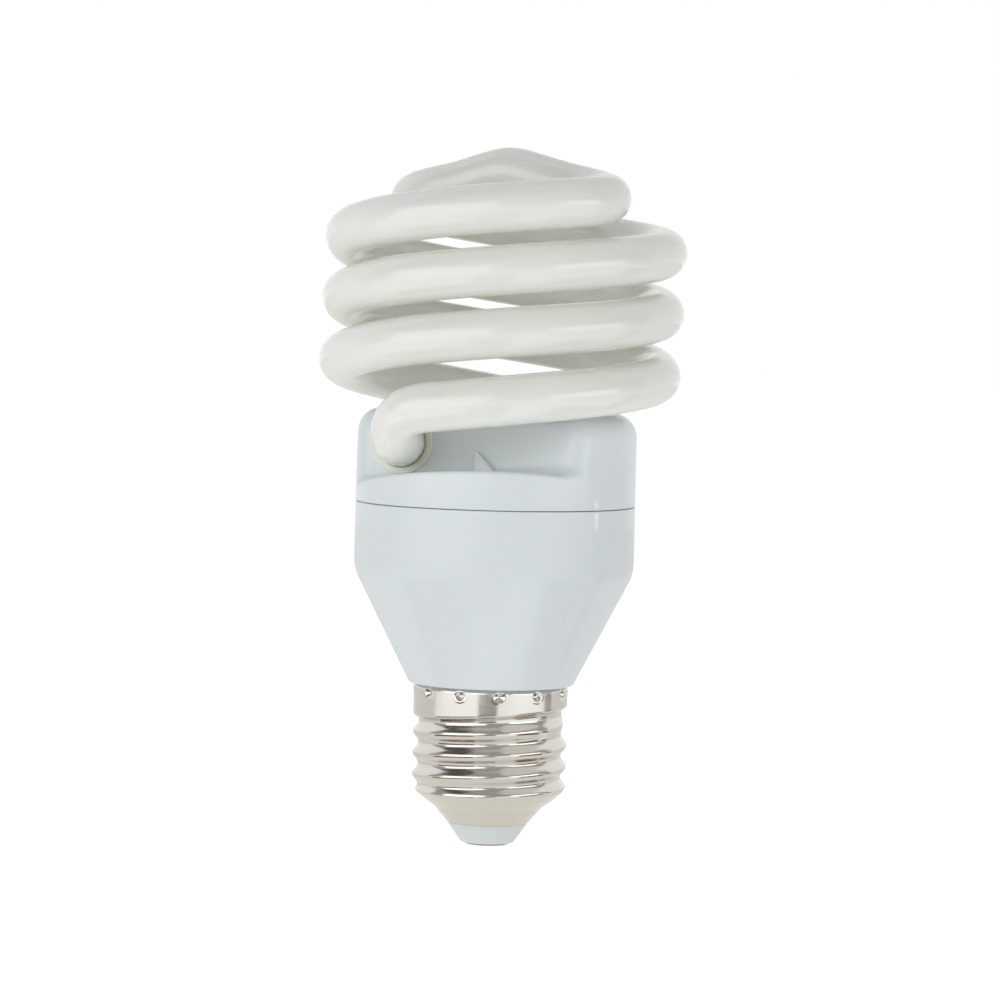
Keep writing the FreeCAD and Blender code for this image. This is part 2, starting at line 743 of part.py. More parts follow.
# Lamp choke: a ferrite frame with a middle limb, a bobbin on the limb and its winding
WINDOW_WIDTH = "((choke_width - 2 * choke_limb - choke_centre) / 2)"
WINDOW_HEIGHT = "(choke_height - 2 * choke_yoke)"
windows = [block(f"choke_window_{name}", (start, "-choke_depth", "choke_yoke"),
                 (WINDOW_WIDTH, "2 * choke_depth", WINDOW_HEIGHT))
           for name, start in (("left", "choke_limb - choke_width / 2"), ("right", "choke_centre / 2"))]
choke_frame = centred_block("choke_frame", "choke_width", "choke_depth", "choke_height")
choke_core = cut("choke_core", choke_frame, *windows)
LIMB_HOLE = ("choke_centre + 2 * fit_gap", "choke_depth + 2 * fit_gap")
TUBE_OUT = ("choke_centre + 2 * fit_gap + 2 * bobbin_wall", "choke_depth + 2 * fit_gap + 2 * bobbin_wall")
FLANGE_OUT = (f"choke_centre + 2 * ({WINDOW_WIDTH} - fit_gap)",
              "choke_depth + 2 * (bobbin_wall + winding_build + 2 * fit_gap)")
bobbin_blank = fuse(
    "bobbin_blank",
    centred_block("bobbin_tube", *TUBE_OUT, f"{WINDOW_HEIGHT} - 2 * fit_gap", "choke_yoke + fit_gap"),
    centred_block("bobbin_top", *FLANGE_OUT, "bobbin_wall", "choke_yoke + fit_gap"),
    centred_block("bobbin_foot", *FLANGE_OUT, "bobbin_wall",
                  f"choke_yoke + {WINDOW_HEIGHT} - fit_gap - bobbin_wall"))
choke_bobbin = cut("choke_bobbin", bobbin_blank, centred_block("limb_hole", *LIMB_HOLE, "2 * choke_height"))
WINDING_FOOT = "choke_yoke + 2 * fit_gap + bobbin_wall"
WINDING_HEIGHT = f"{WINDOW_HEIGHT} - 4 * fit_gap - 2 * bobbin_wall"
choke_winding = cut(
    "choke_winding",
    centred_block("winding_blank", f"choke_centre + 2 * ({WINDOW_WIDTH} - 3 * fit_gap)",
                  "choke_depth + 2 * (bobbin_wall + winding_build)", WINDING_HEIGHT, WINDING_FOOT),
    centred_block("winding_hole", f"{TUBE_OUT[0]} + 2 * fit_gap", f"{TUBE_OUT[1]} + 2 * fit_gap",
                  "2 * choke_height"))
for piece in (choke_core, choke_bobbin, choke_winding):
    hang(piece, "choke")

# Bulk capacitor: a rolled can with its crimped bead near the board
bulk_capacitor = hang(turned("bulk_capacitor", [
    ("0", "0"),
    ("bulk_radius - bulk_edge", "0"),
    ("bulk_radius", "bulk_edge"),
    ("bulk_radius", "bulk_bead_foot"),
    ("bulk_radius - bulk_bead", "bulk_bead_foot + bulk_bead"),
    ("bulk_radius", "bulk_bead_foot + 2 * bulk_bead"),
    ("bulk_radius", "bulk_length - bulk_edge"),
    ("bulk_radius - bulk_edge", "bulk_length"),
    ("0", "bulk_length")]), "bulk")

# Ring core of the base drive, and the drum core of the line choke
driver_toroid = hang(turned("driver_toroid", [
    ("toroid_bore", "0"),
    ("toroid_radius", "0"),
    ("toroid_radius", "toroid_height"),
    ("toroid_bore", "toroid_height")]), "toroid")
line_choke = hang(turned("line_choke", [
    ("0", "0"),
    ("drum_radius", "0"),
    ("drum_radius", "drum_flange"),
    ("drum_radius - drum_waist", "drum_flange"),
    ("drum_radius - drum_waist", "drum_height - drum_flange"),
    ("drum_radius", "drum_height - drum_flange"),
    ("drum_radius", "drum_height"),
    ("0", "drum_height")]), "drum")


def transistor(label, name):
    """A flat plastic package standing off the board on three legs."""
    package = centred_block(f"{label}_package", "transistor_width", "transistor_depth",
                            "transistor_height", "transistor_legs")
    legs = []
    for index in (-1, 0, 1):
        corner = (f"{index} * transistor_width / 4 - lead_radius", "-lead_radius", "0")
        extent = ("2 * lead_radius", "2 * lead_radius", "transistor_legs + lead_radius")
        legs.append(block(f"{label}_leg_{index + 2}", corner, extent))
    return hang(fuse(label, package, *legs), name)


transistor_high = transistor("transistor_high", "high")
transistor_low = transistor("transistor_low", "low")


def film_capacitor(name):
    """A dipped block hanging from the board."""
    piece = centred_block(f"{name}_capacitor", f"{name}_width", f"{name}_depth", f"{name}_height")
    x, y = on_board(f"{name}_x"), on_board(f"{name}_y")
    return seat(piece, f"{x} - {name}_width / 2", f"{y} + {name}_depth / 2", BOARD_FOOT, HANG)


resonant_capacitor = film_capacitor("resonant")
blocking_capacitor = film_capacitor("blocking")


def axial(label, radius, length, places, heading=0):
    """Axial components lying on the board, each on a bent wire staple."""
    height = number(f"{radius} + fit_gap")
    half = number(f"{length} / 2 + lead_run")
    ends = [(-half, 0), (-half, height), (half, height), (half, 0)]
    staple = bent_wire([Vector(x, 0, z) for x, z in ends], size("lead_radius"), size("lead_bend"))
    start = Vector(-size(length) / 2, 0, height)
    barrel = Part.makeCylinder(size(radius), size(length), start, Vector(1, 0, 0))
    solid = staple.fuse(barrel).removeSplitter()
    copies = []
    for x, y in places:
        copy = solid.copy()
        copy.Placement = Placement(Vector(x, y, number(BOARD_TOP)), Rotation(Vector(0, 0, 1), heading))
        copies.append(copy)
    return shaped(label, copies[0] if len(copies) == 1 else Part.makeCompound(copies))


def place_of(name):
    """A place on the board's top, in millimetres."""
    return number(on_board(f"{name}_x")), number(on_board(f"{name}_y"))


def row_of(name, count):
    """Places of a row of like components, one step apart along y."""
    x, y = place_of(name)
    step = number(on_board(f"{name}_step"))
    return [(x, y + index * step) for index in range(count)]


bridge = row_of("bridge", BRIDGE_DIODES)
rectifier_diodes = axial("rectifier_diodes", "diode_radius", "diode_length", bridge)
trigger_diode = axial("trigger_diode", "diode_radius", "diode_length", [place_of("trigger")])
fuse_resistor = axial("fuse_resistor", "resistor_radius", "resistor_length", [place_of("fuse")], heading=90)
bias_row = row_of("bias", BIAS_RESISTORS)
bias_resistors = axial("bias_resistors", "resistor_radius", "resistor_length", bias_row)

# Filament leads: two from each sealed end, bent down to wrap pins on the board
PIN_TOP = number(f"{BOARD_TOP} + pin_height")


def lead_points(side):
    """The two leads of one sealed end: out of the pinch, then straight down to the pin."""
    place = coil_place(side)
    across = LEG_OUT.cross(Vector(0, 0, 1)).normalize() * size("filament_spread")
    for sign in (1, -1):
        start = place.multVec(SEALED_END + across * sign)
        corner = place.multVec(SEALED_END + across * sign - LEG_OUT * size("filament_reach"))
        yield [start, corner, Vector(corner.x, corner.y, PIN_TOP)]


routes = [points for side in SIDES for points in lead_points(side)]
filament_leads = shaped("filament_leads", Part.makeCompound(
    [bent_wire(points, size("lead_radius"), size("wire_bend")) for points in routes]))
half_pin = size("pin_side") / 2
wire_pins = shaped("wire_pins", Part.makeCompound(
    [Part.makeBox(size("pin_side"), size("pin_side"), size("pin_height"),
                  Vector(points[-1].x - half_pin, points[-1].y - half_pin, number(BOARD_TOP)))
     for points in routes]))

# Mains wires: from the contact up the axis, and from the shell past the foot of the neck
wire_radius = size("mains_wire_radius")
board_level = number(BOARD_FOOT)
LIVE_PAD = Vector(*place_of("live_pad"), 0)
live_wire = shaped("live_wire", bent_wire(
    [Vector(0, 0, size("contact_thickness")), Vector(0, 0, number(f"{HOUSING_FOOT} + housing_floor")),
     LIVE_PAD + Vector(0, 0, number(f"{TAPER_TOP} - ledge_height")), LIVE_PAD + Vector(0, 0, board_level)],
    wire_radius, 2 * size("wire_bend")))
neutral_reach = number(f"{NECK_BORE} - 2 * mains_wire_radius")
neutral_level = number(f"{NECK_FOOT} - wire_bend")
neutral_turn = Rotation(Vector(0, 0, 1), size("neutral_angle"))
neutral_wire = shaped("neutral_wire", bent_wire(
    [neutral_turn.multVec(point) for point in (
        Vector(neutral_reach, 0, board_level),
        Vector(neutral_reach, 0, neutral_level),
        Vector(number(f"{SHELL_BORE} - fit_gap"), 0, neutral_level))],
    wire_radius, size("wire_bend")))

SUB_PARTS = [
    glass_spiral, *collars, tube_cover, ballast_housing, screw_shell, base_insulator, centre_contact,
    circuit_board, choke_core, choke_bobbin, choke_winding, bulk_capacitor, driver_toroid, line_choke,
    transistor_high, transistor_low, resonant_capacitor, blocking_capacitor, rectifier_diodes,
    trigger_diode, fuse_resistor, bias_resistors, wire_pins, filament_leads, live_wire, neutral_wire]

doc.recompute()
failed = [item.Label for item in doc.Objects if {"Invalid", "Error"} & set(item.State)]
failed += [part.Label for part in SUB_PARTS if part.Shape.isNull() or not part.Shape.isValid()]
if failed:
    raise SystemExit("failed: " + ", ".join(failed))

os.makedirs("parts", exist_ok=True)
for part in SUB_PARTS:
    part.Shape.exportStep(f"parts/{part.Label}.step")
    print(part.Label, len(part.Shape.Solids), "solid(s)", round(part.Shape.Volume, 1), "mm3")
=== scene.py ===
# %% [markdown]
# # A spiral energy saving bulb
# The lamp is one long glass tube wound into a double helix, two white plastic mouldings round the
# ballast, and a nickelled screw cap. The solid model already gives every piece its place. Here each
# visible piece is drawn again with smooth surfaces and dressed in a finish of its own, in the same
# frame, so nothing has to be lined up by eye. Sizes of the lamp are in millimetres and degrees, those
# of the studio in metres and degrees.

# %% Load the solid model
import json
import math

import bmesh
import bpy
import numpy as np
from mathutils import Matrix, Vector


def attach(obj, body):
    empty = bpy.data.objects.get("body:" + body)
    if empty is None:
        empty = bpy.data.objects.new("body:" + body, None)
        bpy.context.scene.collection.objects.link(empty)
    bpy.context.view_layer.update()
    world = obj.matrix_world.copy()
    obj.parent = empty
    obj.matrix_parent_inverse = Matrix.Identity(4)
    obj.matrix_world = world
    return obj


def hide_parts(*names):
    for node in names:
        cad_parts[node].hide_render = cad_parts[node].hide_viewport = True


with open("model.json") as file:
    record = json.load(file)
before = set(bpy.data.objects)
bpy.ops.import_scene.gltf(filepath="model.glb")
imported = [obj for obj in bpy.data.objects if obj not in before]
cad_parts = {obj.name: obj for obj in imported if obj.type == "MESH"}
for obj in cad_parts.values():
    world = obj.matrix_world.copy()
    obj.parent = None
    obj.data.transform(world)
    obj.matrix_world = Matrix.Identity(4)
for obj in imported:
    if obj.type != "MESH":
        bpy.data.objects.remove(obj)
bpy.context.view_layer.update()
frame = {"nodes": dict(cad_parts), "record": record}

scene = bpy.context.scene
scene.view_settings.view_transform = "Standard"
print("solid pieces:", len(frame["nodes"]))

# %% [markdown]
# ## How a smooth piece is made
# Every visible piece here is a grid of points: rings of a tube, a turned profile, or a moulded skin.
# A modifier stack could give the same shapes, but a grid made from the sizes is exact and light, and
# its faces are clean quads. One helper joins a grid into a mesh, closes it and hangs it on the lamp in
# place of the solid.

# %% Grid helper
MM = 0.001


def grid_piece(name, points, node, loop=False):
    """A smooth piece from rows of closed rings in millimetres; loop joins last row and first."""
    rows, columns = points.shape[:2]
    index = np.arange(rows * columns).reshape(rows, columns)
    below = index if loop else index[:-1]
    above = np.roll(index, -1, axis=0) if loop else index[1:]
    around = (np.roll(below, -1, axis=1), np.roll(above, -1, axis=1))
    faces = np.stack([below, around[0], around[1], above], axis=-1).reshape(-1, 4).tolist()
    if not loop:
        faces += [index[0].tolist(), index[-1].tolist()]
    mesh = bpy.data.meshes.new(name)
    mesh.from_pydata((points.reshape(-1, 3) * MM).tolist(), [], faces)
    faced = bmesh.new()
    faced.from_mesh(mesh)
    bmesh.ops.recalc_face_normals(faced, faces=faced.faces)
    faced.to_mesh(mesh)
    faced.free()
    mesh.shade_smooth()
    piece = bpy.data.objects.new(name, mesh)
    scene.collection.objects.link(piece)
    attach(piece, "root")
    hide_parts(node)
    print(name, "faces:", len(mesh.polygons))
    return piece


# %% [markdown]
# ## The line of the glass tube
# The maker winds one tube on a grooved mandrel: two arms climb side by side and meet over the axis in
# a ridged crown, and each lower end is bent in an elbow so that its leg points back into the cover. A
# bevelled curve object would draw it quickly, but then its corners depend on curve handles. The line
# is worked out instead from a few sizes: a helix for the wound part, an arc and a straight for the
# crown, and a Bezier bend for the elbow.

# %% The wound part
TUBE_RADIUS = 4.13
COIL_RADIUS, STRAND_PITCH = 26.6, 10.33
ROOF, COIL_CLEARANCE = 73.9, 0.8
ELBOW_ANGLE, HALF_TURN = 243.0, 180
SETTLE_ANGLE, SETTLE_DROP, SETTLE_BOW = 420.0, 1.05, 1.2


def helix(angle):
    """Centre line of one wound arm at an angle; its lower end settles a little."""
    turn = np.radians(angle)
    ease = np.maximum(0, (SETTLE_ANGLE - angle) / (SETTLE_ANGLE - ELBOW_ANGLE))
    climb = STRAND_PITCH * (angle - ELBOW_ANGLE) / HALF_TURN
    height = ROOF + COIL_CLEARANCE + climb - SETTLE_DROP * ease ** SETTLE_BOW
    return np.stack([COIL_RADIUS * np.cos(turn), COIL_RADIUS * np.sin(turn), height], axis=-1)


print("coil, mm across:", 2 * (COIL_RADIUS + TUBE_RADIUS))

# %% The crown
CROWN_BEND, CROWN_ANGLE = 10.6, 872.0
CROWN_SLOPE, CROWN_PEAK, CROWN_FADE = 0.333, 2.5, 4

straight = math.sqrt(COIL_RADIUS * (COIL_RADIUS - 2 * CROWN_BEND))
swing = math.atan2(CROWN_BEND, straight)
heading = math.radians(CROWN_ANGLE)
touch = heading - swing
arc_length = CROWN_BEND * (swing + math.pi / 2)
crown_length = arc_length + straight
coil_slope = STRAND_PITCH / (math.pi * COIL_RADIUS)


def crown_fall(away):
    """Drop below the peak, away from it along the crown; the slope eases off into the coil's own."""
    soft = np.hypot(away, CROWN_PEAK) - CROWN_PEAK
    steeper = CROWN_SLOPE - coil_slope
    eased_off = 1 - (1 - soft / crown_length) ** CROWN_FADE
    return coil_slope * soft + steeper * crown_length / CROWN_FADE * eased_off


def crown(run):
    """Centre line of the crown at lengths run from where it leaves the helix."""
    turn = touch + np.minimum(run, arc_length) / CROWN_BEND
    left = crown_length - np.maximum(run, arc_length)
    inner = COIL_RADIUS - CROWN_BEND
    on_arc = run < arc_length
    x = np.where(on_arc, inner * math.cos(touch) + CROWN_BEND * np.cos(turn), left * math.cos(heading))
    y = np.where(on_arc, inner * math.sin(touch) + CROWN_BEND * np.sin(turn), left * math.sin(heading))
    rise = crown_fall(crown_length) - crown_fall(crown_length - run)
    return np.stack([x, y, helix(math.degrees(touch))[2] + rise], axis=-1)


print("half of the crown, mm long:", round(crown_length, 2))


# %% Leg and elbow
def turned_about(axis, degrees):
    """A rotation as a 3 by 3 array."""
    return np.array(Matrix.Rotation(math.radians(degrees), 3, axis))


LEG_POINT = np.array([-16.0, -6.04, 67.7])
LEG_SPLAY, LEG_CLIMB = 3.0, 2.0
LEG_INNER, LEG_OUTER, PINCH_LENGTH = 5.0, 6.0, 4.0
PULL_LEG, PULL_COIL = 5.0, 7.0
LEG_STEPS = 24
LEG_OUT = turned_about("Z", -LEG_SPLAY) @ turned_about("X", -LEG_CLIMB) @ np.array([0.0, -1.0, 0.0])


def leg():
    """From the pinched end out along the leg and round the elbow to the helix."""
    inner = LEG_POINT - LEG_OUT * (LEG_INNER + PINCH_LENGTH)
    outer = LEG_POINT + LEG_OUT * LEG_OUTER
    coil = helix(ELBOW_ANGLE)
    ahead = helix(ELBOW_ANGLE + 1) - coil
    pulls = (outer + LEG_OUT * PULL_LEG, coil - ahead / np.linalg.norm(ahead) * PULL_COIL)
    share = np.linspace(0, 1, LEG_STEPS, endpoint=False)[:, None]
    run = inner + (outer - inner) * share
    bend = ((1 - share) ** 3 * outer + 3 * share * (1 - share) ** 2 * pulls[0]
            + 3 * share ** 2 * (1 - share) * pulls[1] + share ** 3 * coil)
    return np.concatenate([run, bend])


print("leg leaves the cover at height, mm:", LEG_POINT[2])

# %% [markdown]
# ## A coil that is not quite even
# The finished coil leans a little, its strands lie closer together at the back, and one slope of the
# crown sags. The mesh could be sculpted to show that, but a shift of the centre line needs only a few
# named sizes, and the tube stays round. The second arm is the first one turned by half a turn.

# %% The whole line
LEAN_RIGHT, LEAN_BACK = 1.6, 2.1
CLOSER, EVEN_HEIGHT = 0.055, 96.8
MOST_DOWN, MOST_UP = -0.6, 0.75
CROWN_SAG, SAG_PLACE, SAG_WIDTH = 0.5, -11.0, 6.0
SAG_FOOT, SAG_FADE = 109.0, 4.0
WOUND_STEPS, CROWN_STEPS = 260, 60
LEAN = turned_about("Y", LEAN_RIGHT) @ turned_about("X", -LEAN_BACK)
PIVOT = np.array([0.0, 0.0, ROOF])


def leaned(points):
    """Points of the upright coil carried over to the leaning one."""
    return (points - PIVOT) @ LEAN.T + PIVOT


def uneven(points):
    """Points of the line, shifted so that strands lie closer at the back and the crown's left sags."""
    x, y, z = points.T
    shift = np.clip(CLOSER * (EVEN_HEIGHT - z), MOST_DOWN, MOST_UP)
    closer = np.clip(y / COIL_RADIUS, 0, 1) * shift
    hollow = CROWN_SAG * np.exp(-((x - SAG_PLACE) / SAG_WIDTH) ** 2)
    sag = hollow * np.clip((z - SAG_FOOT) / SAG_FADE, 0, 1)
    return np.stack([x, y, z + closer - sag], axis=-1)


wound = helix(np.linspace(ELBOW_ANGLE, math.degrees(touch), WOUND_STEPS, endpoint=False))
arm = np.concatenate([leg(), wound, crown(np.linspace(0, crown_length, CROWN_STEPS))])
far_arm = arm[-2::-1] * np.array([-1.0, -1.0, 1.0])
tube_line = uneven(leaned(np.concatenate([arm, far_arm])))
print("tube length, mm:", round(float(np.linalg.norm(np.diff(tube_line, axis=0), axis=1).sum()), 1))

# %% [markdown]
# ## Sweeping the glass
# A ring of points is carried along the line. If each ring were set upright on its own, the tube would
# twist where the line turns over the crown, so each ring keeps the last ring's direction, only swung
# by as much as the line itself turns. The last few millimetres of both ends are pressed flat, as a gas
# torch and pliers leave them.

# %% Glass tube
TUBE_SIDES = 48
PINCH_SHARE = 0.22


def swept_rings(path, radius, sides):
    """Rings round a path, none twisted against the one before."""
    ahead = np.gradient(path, axis=0)
    ahead /= np.linalg.norm(ahead, axis=1)[:, None]
    up = np.array([0.0, 0.0, 1.0])
    angle = np.linspace(0, 2 * math.pi, sides, endpoint=False)[:, None]
    rings = []
    for place, forward in zip(path, ahead):
        up = up - forward * (up @ forward)
        up /= np.linalg.norm(up)
        side = np.cross(forward, up)
        rings.append(place + radius * (np.cos(angle) * side + np.sin(angle) * up))
    return np.array(rings)


def pinched(rings, path):
    """The rings of both ends pressed flat towards the level line through them."""
    run = np.concatenate([[0], np.cumsum(np.linalg.norm(np.diff(path, axis=0), axis=1))])
    from_end = np.minimum(run, run[-1] - run)
    thin = PINCH_SHARE + (1 - PINCH_SHARE) * np.clip(from_end / PINCH_LENGTH, 0, 1)
    flat = rings.copy()
    flat[:, :, 2] = path[:, None, 2] + (rings[:, :, 2] - path[:, None, 2]) * thin[:, None]
    return flat


glass = grid_piece("glass_tube", pinched(swept_rings(tube_line, TUBE_RADIUS, TUBE_SIDES), tube_line),
                   "glass_spiral")

# %% [markdown]
# ## Turned pieces
# The lower housing, the insulator and the end contact are round, so each is a profile spun about the
# axis. Blender's Screw modifier does the same; here the corners are rounded first, because a moulded
# edge is never sharp and it is the rounding that catches the light. Long straights get a point near
# both ends: without it, smooth shading would bend a straight wall over its whole height.

# %% Turning helper
CORNER_STEPS = 7
HOLD = 0.2
LONG_STRAIGHT = 3 * HOLD


def rounded(corners, steps=CORNER_STEPS):
    """A closed profile with every (radius, height, rounding) corner replaced by an arc."""
    places = np.array([corner[:2] for corner in corners], dtype=float)
    outline = []
    for index, (_, _, rounding) in enumerate(corners):
        here = places[index]
        inward = places[index - 1] - here
        onward = places[(index + 1) % len(corners)] - here
        inward /= np.linalg.norm(inward)
        onward /= np.linalg.norm(onward)
        half = math.acos(float(np.clip(inward @ onward, -1, 1))) / 2
        middle = (inward + onward) / np.linalg.norm(inward + onward)
        centre = here + middle * rounding / math.sin(half)
        start = here + inward * rounding / math.tan(half) - centre
        end = here + onward * rounding / math.tan(half) - centre
        for share in np.linspace(0, 1, steps):
            spoke = start * (1 - share) + end * share
            outline.append(centre + spoke / np.linalg.norm(spoke) * rounding)
    return np.array(outline)


def held(profile):
    """The profile with a point near both ends of every long straight, so that it is shaded straight."""
    points = []
    for here, after in zip(profile, np.roll(profile, -1, axis=0)):
        points.append(here)
        length = np.linalg.norm(after - here)
        if length > LONG_STRAIGHT:
            points += [here + (after - here) * HOLD / length, after - (after - here) * HOLD / length]
    return np.array(points)


def spun(profile, sides):
    """Rows of rings from a closed profile."""
    profile = held(profile)
    angle = np.linspace(0, 2 * math.pi, sides, endpoint=False)
    radius, height = profile[:, :1], profile[:, 1:]
    return np.stack([radius * np.cos(angle), radius * np.sin(angle), height + 0 * angle], axis=-1)


# %% [markdown]
# ### Lower housing
# The lower moulding holds the ballast: an upright wall, a taper, and a neck that reaches into the
# screw shell. The line between the two mouldings could be painted on as a dark stripe. Here both edges
# are rounded and a hair apart, so the line is a true slit with its own shadow.

# %% Lower housing
PARTING, TAPER_TOP = 58.1, 46.7
HOUSING_FOOT, HOUSING_FLOOR = 27.5, 29.1
WALL_RADIUS, WALL_BORE = 23.8, 22.25
HEEL_RADIUS, FLOOR_RADIUS = 14.0, 12.4
NECK_RADIUS, NECK_BORE, NECK_FOOT = 12.3, 10.1, 22.4
NECK_TIP_RADIUS, NECK_TIP_TOP = 11.4, 23.6
SHOULDER_ROUND, BORE_ROUND, FLOOR_ROUND, HEEL_ROUND = 8.0, 6.0, 0.3, 0.35
EDGE_ROUND, SLIT = 0.16, 0.11
HIDDEN_ROUND, SHARP_ROUND = 0.1, 0.05
HOUSING_SIDES, HOUSING_STEPS = 192, 13

housing_profile = rounded([
    (NECK_RADIUS, HOUSING_FOOT, SHARP_ROUND),
    (HEEL_RADIUS, HOUSING_FOOT, HEEL_ROUND),
    (WALL_RADIUS, TAPER_TOP, SHOULDER_ROUND),
    (WALL_RADIUS, PARTING, EDGE_ROUND),
    (WALL_BORE, PARTING, HIDDEN_ROUND),
    (WALL_BORE, TAPER_TOP, BORE_ROUND),
    (FLOOR_RADIUS, HOUSING_FLOOR, FLOOR_ROUND),
    (NECK_BORE, HOUSING_FLOOR, HIDDEN_ROUND),
    (NECK_BORE, NECK_FOOT, HIDDEN_ROUND),
    (NECK_TIP_RADIUS, NECK_FOOT, HIDDEN_ROUND),
    (NECK_RADIUS, NECK_TIP_TOP, HIDDEN_ROUND)], steps=HOUSING_STEPS)
housing = grid_piece("lower_housing", spun(housing_profile, HOUSING_SIDES),
                     "ballast_housing", loop=True)

# %% [markdown]
# ### Insulator and end contact
# A plastic cone keeps the shell and the end contact apart, and the contact is a thin disc with an eye
# for its wire. Bevelled cylinders would do from far away; a profile also gives the cone its seat for
# the contact and its rounded lip.

# %% Insulator and end contact
SHELL_FOOT, CONE_TOP_RADIUS = 3.7, 6.9
CONE_FOOT, CONE_FOOT_RADIUS, CONE_ROUND = 0.35, 4.55, 0.3
SEAT_RADIUS, SEAT_HEIGHT, SEAT_ROUND = 3.9, 0.9, 0.08
PLUG_RADIUS, PLUG_TOP, WIRE_BORE = 6.25, 5.4, 0.9
CONTACT_RADIUS, CONTACT_THICK, CONTACT_EYE, CONTACT_ROUND = 3.8, 0.8, 0.35, 0.25
INSULATOR_SIDES, CONTACT_SIDES = 128, 96

insulator_profile = rounded([
    (WIRE_BORE, SEAT_HEIGHT, HIDDEN_ROUND),
    (SEAT_RADIUS, SEAT_HEIGHT, HIDDEN_ROUND),
    (SEAT_RADIUS, CONE_FOOT, SEAT_ROUND),
    (CONE_FOOT_RADIUS, CONE_FOOT, CONE_ROUND),
    (CONE_TOP_RADIUS, SHELL_FOOT, SHARP_ROUND),
    (PLUG_RADIUS, SHELL_FOOT, SHARP_ROUND),
    (PLUG_RADIUS, PLUG_TOP, HIDDEN_ROUND),
    (WIRE_BORE, PLUG_TOP, HIDDEN_ROUND)])
contact_profile = rounded([
    (CONTACT_EYE, 0.0, HIDDEN_ROUND),
    (CONTACT_RADIUS, 0.0, CONTACT_ROUND),
    (CONTACT_RADIUS, CONTACT_THICK, SHARP_ROUND),
    (CONTACT_EYE, CONTACT_THICK, SHARP_ROUND)])
insulator = grid_piece("cap_insulator", spun(insulator_profile, INSULATOR_SIDES),
                       "base_insulator", loop=True)
contact = grid_piece("end_contact", spun(contact_profile, CONTACT_SIDES),
                     "centre_contact", loop=True)

# %% [markdown]
# ## The moulded cover
# The cover is a round cap with two slanted recesses, and the tube's legs come out of their walls.
# Booleans with a bevel would leave ragged corners where three roundings meet. The cover is described
# instead by distances: how far a point lies outside the round cap, above a recess floor, in front of a
# recess wall. Distances can be joined with a rounding of a stated radius, and since every ray from a
# point on the axis leaves the cover only once, a search along each ray finds the skin.

# %% Distances to the cover's surfaces
COVER_ROUND = 4.0
RECESS_INSET, RECESS_FOOT = 12.4, PARTING + 4.3
RECESS_HEADING, RECESS_LEAN, RECESS_CLIMB = 25.8, 10.0, 4.4
FOOT_ROUND, RIM_ROUND, END_ROUND = 2.0, 0.7, 2.2
BOTH_SIDES = (("front", 0), ("back", HALF_TURN))


def recess_frame(half_turn):
    """Foot of a recess wall, and its along, outward and upward directions."""
    turn = turned_about("Z", half_turn + HALF_TURN - RECESS_HEADING)
    tilt = turned_about("Y", RECESS_CLIMB) @ turned_about("X", RECESS_LEAN)
    return turn @ np.array([0.0, RECESS_INSET, RECESS_FOOT]), (turn @ tilt).T


def joined_round(a, b, rounding):
    """Distance to both solids together, the corner between them filled with a rounding."""
    corner = np.hypot(np.maximum(rounding - a, 0), np.maximum(rounding - b, 0))
    return np.maximum(rounding, np.minimum(a, b)) - corner


def common_round(a, b, rounding):
    """Distance to what two solids share, its edge rounded off."""
    edge = np.hypot(np.maximum(rounding + a, 0), np.maximum(rounding + b, 0))
    return np.minimum(-rounding, np.maximum(a, b)) + edge


def cap_distance(place):
    """Distance outside the plain round cap."""
    across = np.hypot(place[..., 0], place[..., 1]) - (WALL_RADIUS - COVER_ROUND)
    above = place[..., 2] - (ROOF - COVER_ROUND)
    outside = np.hypot(np.maximum(across, 0), np.maximum(above, 0))
    return outside + np.minimum(np.maximum(across, above), 0) - COVER_ROUND


def cover_distance(place):
    """Distance outside the cover with its two recesses; the rim's rounding grows at their ends."""
    distance = cap_distance(place)
    for _, half_turn in BOTH_SIDES:
        foot, (_, out, up) = recess_frame(half_turn)
        floor = (place - foot) @ up
        wall = (place - foot) @ out
        kept = joined_round(floor, wall, FOOT_ROUND)
        ends = np.clip((floor - wall) / (2 * END_ROUND) + 0.5, 0, 1)
        distance = common_round(distance, kept, RIM_ROUND + (END_ROUND - RIM_ROUND) * ends ** 2)
    return distance


# %% Search along the rays
RAY_START, RAY_REACH, HALVINGS = 46.0, 60.0, 40
RAY_SHARES, RAY_LIFTS = (0, 0.16, 0.75, 1), (36, 63, 89.6)
COVER_SIDES, COVER_ROWS = 400, 150


def cover_skin():
    """Rows of rings on the cover's skin, closer together where the recess floors lie."""
    lowest = math.atan2(PARTING + SLIT + EDGE_ROUND - RAY_START, WALL_RADIUS)
    lifts = [lowest, *(math.radians(lift) for lift in RAY_LIFTS)]
    lift = np.interp(np.linspace(0, 1, COVER_ROWS), RAY_SHARES, lifts)
    angle = np.linspace(0, 2 * math.pi, COVER_SIDES, endpoint=False)
    lift, angle = np.meshgrid(lift, angle, indexing="ij")
    ray = np.stack([np.cos(lift) * np.cos(angle), np.cos(lift) * np.sin(angle), np.sin(lift)], axis=-1)
    start = np.array([0.0, 0.0, RAY_START])
    near, far = np.zeros(lift.shape), np.full(lift.shape, RAY_REACH)
    for _ in range(HALVINGS):
        middle = (near + far) / 2
        outside = cover_distance(start + ray * middle[..., None]) > 0
        far = np.where(outside, middle, far)
        near = np.where(outside, near, middle)
    return start + ray * near[..., None]


skin = cover_skin()
print("points on the cover's skin:", skin.shape[0] * skin.shape[1])

# %% Cover
EDGE_STEPS = 6
INNER_SHARE, COVER_THICK, INNER_STEP = 0.93, 1.5, 6


